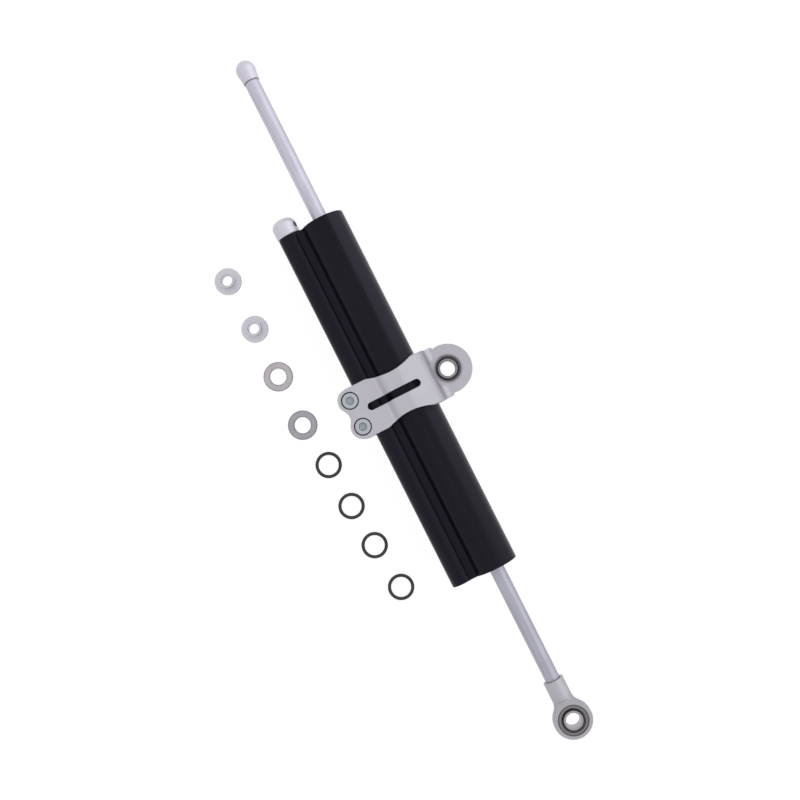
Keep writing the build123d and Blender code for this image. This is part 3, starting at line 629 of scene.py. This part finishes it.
speckLooks = {
    "nitrileRubber": {"colour": (0.045, 0.045, 0.048), "tone": 0.2, "size": 0.30, "gain": 2.5,
                      "cloudSize": 3, "roughness": 0.55, "depth": 0.008, "specular": 0.35},
    "greyRubber": {"colour": (0.33, 0.315, 0.35), "tone": 0.12, "size": 0.30, "gain": 2.5,
                   "roughness": 0.60, "depth": 0.004, "specular": 0.5},
    "bearingPlastic": {"colour": (0.20, 0.12, 0.06), "tone": 0.25, "size": 0.25, "gain": 3,
                       "roughness": 0.45, "depth": 0.004, "specular": 0.5}}
speckShare, speckMove = 0.6, 0.2


# Rubber and plastic: fine dust or flecks over one colour, and broad clouds too where they have a size.
def speckled(name):
    look = speckLooks[name]
    sheet = newSheet(name)
    specks = sheet.noise(look["size"], detail=3, rough=0.7)
    shade = spreadOut(specks, look["gain"])
    if "cloudSize" in look:
        shade = blended(specks, sheet.noise(look["cloudSize"]), speckShare, look["gain"])
    tone = sheet.tones(shade, look["colour"], look["tone"])
    return sheet.surface(tone, around(look["roughness"], (specks,), (speckMove,)), specks, look["depth"],
                         {"Specular IOR Level": look["specular"]})


finishes = {
    "black_anodised": blackAnodised("blackAnodised"),
    "silver_anodised": beadBlasted("silverBeadBlasted"),
    "machined_alloy": plainMetal("machinedAlloy", (0.50, 0.50, 0.53), roughness=0.32, grainSize=0.15),
    "kit_alloy": turnedMetal("kitAlloy", (0.60, 0.593, 0.645), roughness=0.50, pitch=0.5, depth=0.0002,
                             tone=0.02),
    "hard_chrome": groundChrome("hardChrome"),
    "matt_steel": mattZinc("mattZincSteel"),
    "bearing_steel": turnedMetal("bearingSteel", (0.34, 0.33, 0.33), roughness=0.30),
    "spring_steel": plainMetal("phosphatedSpringSteel", (0.07, 0.07, 0.07), roughness=0.45, grainSize=0.2),
    "black_steel": plainMetal("blackenedSteel", (0.02, 0.02, 0.02), roughness=0.40, grainSize=0.2),
    "zinc_steel": blueZinc("blueZincSteel"),
    "kit_washer_steel": stampedSteel("stampedWasherSteel"),
    "brass": plainMetal("turnedBrass", (0.60, 0.44, 0.18), roughness=0.30, grainSize=0.15),
    "bronze": plainMetal("linedBronze", (0.42, 0.27, 0.15), roughness=0.38, grainSize=0.2),
    "bearing_plastic": speckled("bearingPlastic"),
    "black_rubber": speckled("nitrileRubber"),
}
print("finishes made:", len(finishes))


# The cylinder: an extrusion with a main barrel and a side channel joined by a web

cylinder = {"barrelRadius": 12.0, "channelRadius": 6.1, "webHalf": 4.5, "webFillet": 0.6,
            "edgeRound": 0.4, "headBore": 9.75, "headDepth": 25.0, "bore": 9.0,
            "cartridgeBore": 4.5, "cartridgeDepth": 12.0, "channelBore": 3.5, "sharpAngle": 35}
pointCounts = {"barrel": 90, "channel": 48, "fillet": 8, "webTop": 5, "webCut": 9, "edge": 6, "middle": 5}
plainStart = 1.5                               # edge rounds from an end face to the plain sides
faceShares = (0, 0.08, 0.5, 0.92, 1)           # rows from an end face's outline to its bore
channelDrop = rodCentre[1] - channelCentre[1]


# The upper half of one lobe's outline in (y, z) about the lobe's centre, with the web towards +Y:
# a circle from its far side to the fillet, the fillet, and the web's top as far as webEnd. The fillet's
# centre lies radius + fillet from the lobe's centre, at a height of webHalf + fillet.
def lobeOutline(radius, webHalf, fillet, webEnd, circlePoints):
    centreZ = webHalf + fillet
    centreY = math.sqrt((radius + fillet)**2 - centreZ**2)
    meet = math.degrees(math.atan2(centreZ, centreY))
    circle = arcLine((0, 0), radius, 180, meet, circlePoints)
    turnedFillet = arcLine((centreY, centreZ), fillet, 180 + meet, 270, pointCounts["fillet"])
    across = np.linspace(centreY, webEnd, pointCounts["webTop"])
    webTop = np.column_stack([across, np.full(len(across), webHalf)])
    return np.vstack([circle, turnedFillet[1:], webTop[1:]])


# Both lobes' outlines for a section grown by a distance, each in (y, z) from the rod's line.
def bodyOutlines(grow):
    size = cylinder
    webHalf = size["webHalf"] + grow
    fillet = size["webFillet"] - grow
    channelEdge = math.sqrt(size["channelRadius"]**2 - size["webHalf"]**2)
    barrelEdge = math.sqrt(size["barrelRadius"]**2 - size["webHalf"]**2)
    split = (channelEdge - channelDrop - barrelEdge) / 2
    channel = lobeOutline(size["channelRadius"] + grow, webHalf, fillet, split + channelDrop,
                          pointCounts["channel"])
    barrel = lobeOutline(size["barrelRadius"] + grow, webHalf, fillet, -split, pointCounts["barrel"])
    channel[:, 0] -= channelDrop
    barrel[:, 0] *= -1
    return channel, barrel


def mirrorDown(line):
    return line * (1, -1)


# Closed loops of (y, z): the whole outline, and one round each lobe that is cut at the web's middle.
def bodyLoops(grow):
    channel, barrel = bodyOutlines(grow)
    y, z = channel[-1]
    heights = np.linspace(z, -z, pointCounts["webCut"])[1:-1]
    web = np.column_stack([np.full(len(heights), y), heights])
    whole = np.vstack([channel, barrel[::-1][1:], mirrorDown(barrel)[1:], mirrorDown(channel)[::-1][1:-1]])
    channelLoop = np.vstack([channel, web, mirrorDown(channel)[::-1][:-1]])
    barrelLoop = np.vstack([barrel, web, mirrorDown(barrel)[::-1][:-1]])
    return whole, channelLoop, barrelLoop


# Stands a loop of (y, z) up as a row of points at x.
def rowAt(x, loop):
    return np.column_stack([np.full(len(loop), x), loop[:, 0] + rodCentre[1], loop[:, 1] + rodCentre[2]])


# The point on a circle in line with each point of a loop, seen from the circle's centre.
def circleUnder(loop, centreY, radius):
    away = loop - (centreY, 0)
    return (centreY, 0) + radius * away / np.linalg.norm(away, axis=1)[:, None]


# The long surface, with its ends rounded by a quarter circle: the section shrinks by
# edge * (1 - sin(a)) while x moves in by edge * (1 - cos(a)).
def bodySides(leftFace, rightFace, edge):
    angle = np.radians(np.linspace(0, 90, pointCounts["edge"]))
    corner = list(zip(edge * (1 - np.sin(angle)), edge * (1 - np.cos(angle))))
    rows = [rowAt(leftFace + inset, bodyLoops(-shrink)[0]) for shrink, inset in corner]
    start = edge * plainStart
    middles = np.linspace(leftFace + start, rightFace - start, pointCounts["middle"])
    rows += [rowAt(x, bodyLoops(0)[0]) for x in middles]
    rows += [rowAt(rightFace - inset, bodyLoops(-shrink)[0]) for shrink, inset in corner[::-1]]
    return np.stack(rows)


# One end face: rows run from the lobe's loop across the face to the bore's mouth.
def endFace(x, loop, centreY, radius):
    mouth = circleUnder(loop, centreY, radius)
    return np.stack([rowAt(x, loop * (1 - s) + mouth * s) for s in faceShares])


# One bore, which is wide for a depth at both ends and narrow between them.
def steppedBore(left, right, loop, centreY, wide, depth, narrow):
    stations = ((left, wide), (left + depth, wide), (left + depth, narrow),
                (right - depth, narrow), (right - depth, wide), (right, wide))
    return np.stack([rowAt(x, circleUnder(loop, centreY, radius)) for x, radius in stations])


def makeCylinder():
    size = cylinder
    left, right = cornersOf("cylinder_body")[:, 0]
    grids = [bodySides(left, right, size["edgeRound"])]
    channelLoop, barrelLoop = bodyLoops(-size["edgeRound"])[1:]
    for loop, y, wide, depth, narrow in ((channelLoop, -channelDrop, "cartridgeBore", "cartridgeDepth",
                                          "channelBore"), (barrelLoop, 0, "headBore", "headDepth", "bore")):
        grids += [endFace(x, loop, y, size[wide]) for x in (left, right)]
        grids.append(steppedBore(left, right, loop, y, size[wide], size[depth], size[narrow]))
    return layMesh(grids, size["sharpAngle"])


setPiece("cylinderBody", makeCylinder(), finishes["black_anodised"], "cylinder_body")
print("cylinder made")


# Turned pieces

cap = {"domeRadius": 5.25, "rimRadius": 4.35, "studRadius": 3.02, "studDepth": 6.52, "rimRound": 0.25,
       "studRound": 0.15}
stopRing = {"inner": 4.02, "edge": 0.12}
arcSteps = {"dome": 40, "ball": 41, "race": 25, "oRing": 40}


# The cap's dome is an arc that runs on into a taper, tangent to it, down to the rim.
def makeCap():
    size = cap
    tip, rim = cornersOf("rod_cap")[:, 0]
    radius = size["domeRadius"]
    domeCentre = tip + radius
    run = rim - domeCentre
    touch = math.atan2(size["rimRadius"], run) + math.acos(radius / math.hypot(run, size["rimRadius"]))
    dome = arcLine((0, 0), radius, 180, math.degrees(touch), arcSteps["dome"])[:, ::-1]
    wall = soften([dome[-1], (size["rimRadius"], run), (size["studRadius"], run),
                   (size["studRadius"], run - size["studDepth"]), (0, run - size["studDepth"])],
                  [0, size["rimRound"], size["studRound"], 0, 0])
    line = np.vstack([dome, wall[1:]])
    return layMesh([turnLine(line, (domeCentre, *rodCentre[1:]), "x", closed=False)])


# A ring of rectangular section with softened edges, from its two radii and its ends.
def ringLine(inner, outer, start, end, edge):
    return soften([(inner, start), (outer, start), (outer, end), (inner, end)], [edge] * 4)


def makeStopRing():
    low, high = cornersOf("cap_stop_ring")
    line = ringLine(stopRing["inner"], (high[1] - low[1]) / 2, low[0], high[0], stopRing["edge"])
    return layMesh([turnLine(line, (0, *rodCentre[1:]), "x")])


bearing = {"ballRadius": 6.5, "ballHalf": 4.0, "boreRadius": 4.0, "boreChamfer": 0.3, "raceRadius": 7.98,
           "raceHalf": 2.5, "raceChamfer": 0.4, "trackGap": 0.05, "ringInner": 6.6, "ringOuter": 8.28,
           "ringStart": 2.52, "ringThickness": 1.0, "ballRound": 0.06, "rimGap": 0.05, "raceRound": 0.08,
           "ringRound": 0.1}


# A ball cut by two flats and a bore: the track is an arc of the sphere between the flats.
def makeBall(centre):
    size = bearing
    half = size["ballHalf"]
    slope = math.degrees(math.asin(half / size["ballRadius"]))
    track = arcLine((0, 0), size["ballRadius"], -slope, slope, arcSteps["ball"])
    bore, chamfer = size["boreRadius"], size["boreChamfer"]
    inside = soften([track[-1], (bore + chamfer, half), (bore, half - chamfer), (bore, chamfer - half),
                     (bore + chamfer, -half), track[0]], [0, *[size["ballRound"]] * 4, 0])
    rim = track[[-1, 0]] - (size["rimGap"], 0)
    line = np.vstack([track, rim[:1], inside[1:-1], rim[1:]])
    return layMesh([turnLine(line, centre, "z")])


# The race's inside is an arc of a slightly larger sphere than the ball.
def makeRace(centre):
    size = bearing
    half, outer, chamfer = size["raceHalf"], size["raceRadius"], size["raceChamfer"]
    track = size["ballRadius"] + size["trackGap"]
    slope = math.degrees(math.asin(half / track))
    inside = arcLine((0, 0), track, slope, -slope, arcSteps["race"])
    outside = soften([inside[-1], (outer - chamfer, -half), (outer, chamfer - half),
                      (outer, half - chamfer), (outer - chamfer, half), inside[0]],
                     [0, *[size["raceRound"]] * 4, 0])
    return layMesh([turnLine(np.vstack([inside, outside[1:-1]]), centre, "z")])


def snapRingGrid(centre, side):
    size = bearing
    start = side * size["ringStart"]
    line = ringLine(size["ringInner"], size["ringOuter"], start, start + side * size["ringThickness"],
                    size["ringRound"])
    return turnLine(line, centre, "z")


silverFinish = turnedSilver("turnedSilver")
setPiece("rodCap", makeCap(), silverFinish, "rod_cap")
setPiece("capStopRing", makeStopRing(), speckled("greyRubber"), "cap_stop_ring")
for name, node, centre in (("rodEndBall", "rod_end_ball", rodEye),
                           ("clampBall", "clamp_bearing_ball", clampEye)):
    finish = bearingBall(name, centre, bearing["ballHalf"], bearing["boreRadius"])
    setPiece(name, makeBall(centre), finish, node)
# The races' dark colour is painted shade for the gap round the ball.
raceFinish = turnedMetal("shadedRaceSteel", (0.14, 0.13, 0.135), roughness=0.40, pitch=0.14,
                         depth=0.001, tone=0.2)
setPiece("rodEndRace", makeRace(rodEye), raceFinish, "rod_end_race")
setPiece("clampRace", makeRace(clampEye), raceFinish, "clamp_bearing_race")
setPiece("rodEndSnapRings", layMesh([snapRingGrid(rodEye, side) for side in (-1, 1)]),
         shadedRing("snapRingSteel"), "rod_end_snap_rings")
setPiece("clampSnapRing", layMesh([snapRingGrid(clampEye, -1)]),
         turnedMetal("clampRingSteel", (0.10, 0.10, 0.10), roughness=0.40), "clamp_snap_ring")
print("rod cap and bearings made")


# The loose fitting kit

# The rounds are one for each corner of an outline.
bush = {"flangeRadius": 7.3, "flangeHeight": 1.5, "flangeChamfer": 0.4, "barrelRadius": 3.97,
        "height": 6.0, "boreRadius": 3.0, "mouthChamfer": 0.4,
        "rounds": (0.15, 0.2, 0.15, 0.15, 0.3, 0.2, 0.08, 0.08)}
washer = {"radius": 8.0, "hole": 4.4, "height": 1.6, "crown": 0.10,
          "rounds": (0.12, 0.12, 0.35, 1.2, 0.35)}
oRing = {"section": 0.89, "inner": 5.4, "ridge": 0.018, "ridgeSharpness": 12}


def bushLine():
    size = bush
    flange, top, height = size["flangeRadius"], size["flangeHeight"], size["height"]
    bore, chamfer, mouth = size["boreRadius"], size["flangeChamfer"], size["mouthChamfer"]
    return soften([(bore, 0), (flange, 0), (flange, top - chamfer), (flange - chamfer, top),
                   (size["barrelRadius"], top), (size["barrelRadius"], height), (bore + mouth, height),
                   (bore, height - mouth)], size["rounds"])


# A stamped washer has soft upper edges, sharper lower ones and a slightly crowned top.
def washerLine():
    hole, radius, height = washer["hole"], washer["radius"], washer["height"]
    edge = height - washer["crown"]
    return soften([(hole, 0), (radius, 0), (radius, edge), ((radius + hole) / 2, height), (hole, edge)],
                  washer["rounds"], steps=7)


# A round section, with the faint ridge that its mould leaves inside and outside:
# radius = section + ridge * exp(-(sharpness * sin(angle))^2).
def oRingLine():
    angle = np.linspace(0, 2 * np.pi, arcSteps["oRing"], endpoint=False)
    ridge = oRing["ridge"] * np.exp(-(oRing["ridgeSharpness"] * np.sin(angle))**2)
    radius = oRing["section"] + ridge
    middle = oRing["inner"] + oRing["section"]
    return np.stack([middle + radius * np.cos(angle), oRing["section"] + radius * np.sin(angle)], -1)


def setOnTable(node, count, line):
    table = cornersOf(node)[0, 2]
    return [turnLine(line, (centre[0], centre[1], table), "z") for centre in centresAlong(node, count)]


for name, node, count, line in (("reducerBushes", "reducer_bushes", 2, bushLine()),
                                ("plainWashers", "plain_washers", 2, washerLine()),
                                ("fittingORings", "fitting_o_rings", 4, oRingLine())):
    setPiece(name, layMesh(setOnTable(node, count, line)), finishes[slotOf[node]], node)
print("fitting kit made")


# The clamp's socket screws

screw = {"headRadius": 4.25, "headHeight": 5.0, "headChamfer": 0.4, "shankRadius": 2.5, "socket": 4.0,
         "socketDepth": 2.6, "socketChamfer": 0.25, "rimWidth": 0.3, "pointDepth": 0.5, "floorShare": 0.98,
         "wallStep": 0.05, "bevelShare": 0.6, "bevelDrop": 0.06, "rounds": (0, 0.15, 0.15, 0.1, 0, 0.3, 0)}


# The outline goes down the head and shank, and back up into the socket, whose rows are hexagons.
def screwGrid(centre, top, bottom):
    size = screw
    half, chamfer, step = size["socket"] / 2, size["socketChamfer"], size["wallStep"]
    head, shank, bevel = size["headRadius"], size["shankRadius"], size["headChamfer"]
    floor = top - size["socketDepth"]
    seat = top - size["headHeight"]
    outside = soften([(half + chamfer + size["rimWidth"], top), (head - bevel, top), (head, top - bevel),
                      (head, seat), (shank, seat), (shank, bottom), (0, bottom)], size["rounds"])
    socket = [(0, floor - size["pointDepth"]), (half * size["floorShare"], floor), (half, floor + step),
              (half, top - chamfer - step), (half, top - chamfer),
              (half + chamfer * size["bevelShare"], top - size["bevelDrop"]), (half + chamfer, top)]
    hexShares = [0, 1, 1, 1, 1, size["bevelShare"], 0] + [0] * len(outside)
    return turnLine(np.vstack([socket, outside]), (centre[0], centre[1], 0), "z", False, hexShares)


low, high = cornersOf("clamp_screws")[:, 2]
screws = [screwGrid(centre, high, low) for centre in centresAlong("clamp_screws", 2)]
setPiece("clampScrews", layMesh(screws), finishes["zinc_steel"], "clamp_screws")
print("clamp screws made")


# Milled pieces: the frame's own shape with its edges broken

milling = {"decimals": 4, "near": 0.0001, "flatAngle": 0.4, "segments": 3}


# A copy of a node with its loose triangles joined and its flats made whole, but for cuts through its
# holes, given as (axis, place), so that no flat runs all the way round a hole.
def joinedCopy(node, cuts):
    source = nodes[node].data
    corners = np.empty(len(source.loops), np.int32)
    source.loops.foreach_get("vertex_index", corners)
    points = np.round(nodePoints(node), milling["decimals"])
    points, where = np.unique(points, axis=0, return_inverse=True)
    faces = where.ravel()[corners].reshape(-1, 3)
    whole = (faces != np.roll(faces, 1, axis=1)).all(1)
    mesh = bpy.data.meshes.new("joined")
    mesh.from_pydata((points * mm).tolist(), [], faces[whole].tolist())
    work = bmesh.new()
    work.from_mesh(mesh)
    for axis, place in cuts:
        across = [float(axis == letter) for letter in "xyz"]
        geometry = work.verts[:] + work.edges[:] + work.faces[:]
        cut = bmesh.ops.bisect_plane(work, geom=geometry, dist=milling["near"] * mm,
                                     plane_co=[place * mm * share for share in across], plane_no=across)
        for line in cut["geom_cut"]:
            if isinstance(line, bmesh.types.BMEdge):
                line.seam = True
    bmesh.ops.dissolve_limit(work, angle_limit=math.radians(milling["flatAngle"]), verts=work.verts,
                             edges=work.edges, delimit={"SEAM"})
    work.to_mesh(mesh)
    work.free()
    mesh.shade_smooth()
    return mesh


# Which edges are broken: those where two faces turn by more than "turn" degrees, both faces reach further
# from the edge than "reach" bevel widths, and neither has a corner narrower than "corner" degrees at the
# edge's ends. Any other edge that turns by more than "crease" degrees stays sharp.
edgeRule = {"turn": 60, "corner": 75, "reach": 8, "crease": 32}


def reachFrom(edge, face):
    start, end = (vertex.co for vertex in edge.verts)
    along = (end - start).normalized()
    return max((vertex.co - start).cross(along).length for vertex in face.verts)


def markEdges(mesh, width):
    work = bmesh.new()
    work.from_mesh(mesh)
    weight = work.edges.layers.float.new("bevel_weight_edge")
    for edge in work.edges:
        turn = math.degrees(edge.calc_face_angle(0))
        edge.smooth = turn < edgeRule["crease"]
        if turn < edgeRule["turn"]:
            continue
        corner = min(min(loop.calc_angle(), loop.link_loop_next.calc_angle()) for loop in edge.link_loops)
        reach = min(reachFrom(edge, face) for face in edge.link_faces)
        if math.degrees(corner) > edgeRule["corner"] and reach > edgeRule["reach"] * width * mm:
            edge[weight] = 1
            edge.smooth = True
    work.to_mesh(mesh)
    work.free()


def breakEdges(piece, width):
    markEdges(piece.data, width)
    bevel = piece.modifiers.new("brokenEdges", "BEVEL")
    bevel.width = width * mm
    bevel.segments = milling["segments"]
    bevel.limit_method = "WEIGHT"
    bevel.harden_normals = True
    bevel.use_clamp_overlap = False


edgeBreaks = {"clampBody": 0.22, "rodEnd": 0.18, "adjusterKnob": 0.12}
screwLine = middleOf("clamp_screws")[1]

for name, node, cuts, finish in (
        ("clampBody", "clamp_body", (("x", 0), ("y", screwLine)), finishes["silver_anodised"]),
        ("rodEnd", "rod_end", (("y", rodCentre[1]),), finishes["matt_steel"]),
        ("adjusterKnob", "adjuster_knob", (("z", 0),), silverFinish)):
    breakEdges(setPiece(name, joinedCopy(node, cuts), finish, node), edgeBreaks[name])
print("clamp, rod end and knob made")


# Every other node keeps its mesh and takes the finish of its slot

turnedSlots = {"kit_alloy", "bearing_steel", "zinc_steel"}     # their finishes read a turned map
plainSteel = plainMetal("plainBearingSteel", (0.40, 0.39, 0.40), roughness=0.26, grainSize=0.2,
                        depth=0.001)
for name, node in nodes.items():
    if name in replaced:
        continue
    slot = slotOf[name]
    for holder in node.material_slots:
        holder.link = "OBJECT"
        holder.material = plainSteel if slot in turnedSlots else finishes[slot]
print("kept nodes dressed:", len(nodes) - len(replaced))


# The table, the light and the camera

studio = {"tableSize": 6.0, "tableGap": 0.05, "tableColour": (0.90, 0.90, 0.90), "tableWhite": 0.92,
          "tableGlow": 1.05, "shadeLevel": 0.60, "lampLength": 1.8, "lampTop": (0.36, 0.82),
          "lampFoot": (1.0, 0.10), "lampLevel": 0.45, "wallShade": 0.22, "wallX": (0.25, -0.25),
          "wallY": (-0.75, -1.0)}


# 1 for rays that show the background: from the camera, off gloss or through glass.
def backgroundRays(sheet):
    path = sheet.node("ShaderNodeLightPath")
    seen = path.out("Is Camera Ray").largest(path.out("Is Glossy Ray"))
    return seen.largest(path.out("Is Transmission Ray"))


def layTable():
    half = studio["tableSize"] / 2
    z = cadBox[0][2] - studio["tableGap"] * mm
    mesh = bpy.data.meshes.new("table")
    corners = [(-half, -half, z), (half, -half, z), (half, half, z), (-half, half, z)]
    mesh.from_pydata(corners, [], [range(4)])
    newObject("table", mesh)
    sheet = newSheet("whiteTable")
    paper = sheet.node("ShaderNodeBsdfDiffuse", {}, {"Color": studio["tableColour"]})
    glow = sheet.node("ShaderNodeEmission", {}, {"Color": (1, 1, 1), "Strength": studio["tableGlow"]})
    share = backgroundRays(sheet) * studio["tableWhite"]
    above = sheet.node("ShaderNodeMixShader", {}, {0: share, 1: paper, 2: glow})
    # Clear from below, so that the underside can be seen.
    below = sheet.node("ShaderNodeNewGeometry").out("Backfacing")
    clear = sheet.node("ShaderNodeBsdfTransparent")
    mixed = sheet.node("ShaderNodeMixShader", {}, {0: below, 1: above, 2: clear})
    sheet.node("ShaderNodeOutputMaterial", {}, {"Surface": mixed})
    mesh.materials.append(sheet.owner)


# White where it is seen or mirrored, and dimmer where it lights. Low down on the -Y side, towards -X, it
# is a little darker, as a wall would be.
def lightWorld():
    world = bpy.data.worlds.new("studio")
    bpy.context.scene.world = world
    sheet = Sheet(world)
    heading = sheet.parts(sheet.node("ShaderNodeTexCoord").out("Generated"))
    wall = sheet.ramp(heading.out("Y"), *studio["wallY"]) * sheet.ramp(heading.out("X"), *studio["wallX"])
    wall = wall * (1 - sheet.node("ShaderNodeLightPath").out("Is Camera Ray"))
    level = backgroundRays(sheet) * (1 - studio["shadeLevel"]) + studio["shadeLevel"]
    level = level * (1 - wall * studio["wallShade"])
    sky = sheet.node("ShaderNodeBackground", {}, {"Color": (1, 1, 1), "Strength": level})
    sheet.node("ShaderNodeOutputWorld", {}, {"Surface": sky})


# One long soft lamp on the damper's +Y side, facing it. Its top and foot are (y, z) in metres, and an even
# lamp of area A gives a brightness of 1 at a power of pi * A.
def hangLamp():
    top, foot = Vector(studio["lampTop"]), Vector(studio["lampFoot"])
    across = foot - top
    middle = (top + foot) / 2
    light = bpy.data.lights.new("softLamp", "AREA")
    light.shape = "RECTANGLE"
    light.size = studio["lampLength"]
    light.size_y = across.length
    light.energy = math.pi * light.size * light.size_y * studio["lampLevel"]
    lamp = newObject("softLamp", light)
    upward = Vector((0, -across.x, -across.y)).normalized()
    sideways = Vector((-1, 0, 0))
    turn = Matrix((sideways, upward, sideways.cross(upward))).transposed()
    lamp.matrix_world = Matrix.Translation((0, middle.x, middle.y)) @ turn.to_4x4()
    lamp.visible_camera = False


view = {"position": (27.7, -29.0, 582.0), "rightward": (0.4503, 0.8929, 0), "sensor": 36, "lens": 49.61,
        "shiftX": -0.0277, "shiftY": 0.0506}


# The camera looks straight down, and the picture is cut a little off its middle.
def setCamera():
    rightward = Vector(view["rightward"]).normalized()
    upward = Vector((0, 0, 1)).cross(rightward)
    data = bpy.data.cameras.new("camera")
    data.sensor_width = view["sensor"]
    data.lens = view["lens"]
    data.shift_x = view["shiftX"]
    data.shift_y = view["shiftY"]
    camera = newObject("camera", data)
    turn = Matrix((rightward, upward, (0, 0, 1))).transposed()
    camera.matrix_world = Matrix.Translation(Vector(view["position"]) * mm) @ turn.to_4x4()
    bpy.context.scene.camera = camera


layTable()
lightWorld()
hangLamp()
setCamera()
bpy.context.scene.view_settings.view_transform = "Standard"
print("table, light and camera set")

bpy.context.view_layer.update()
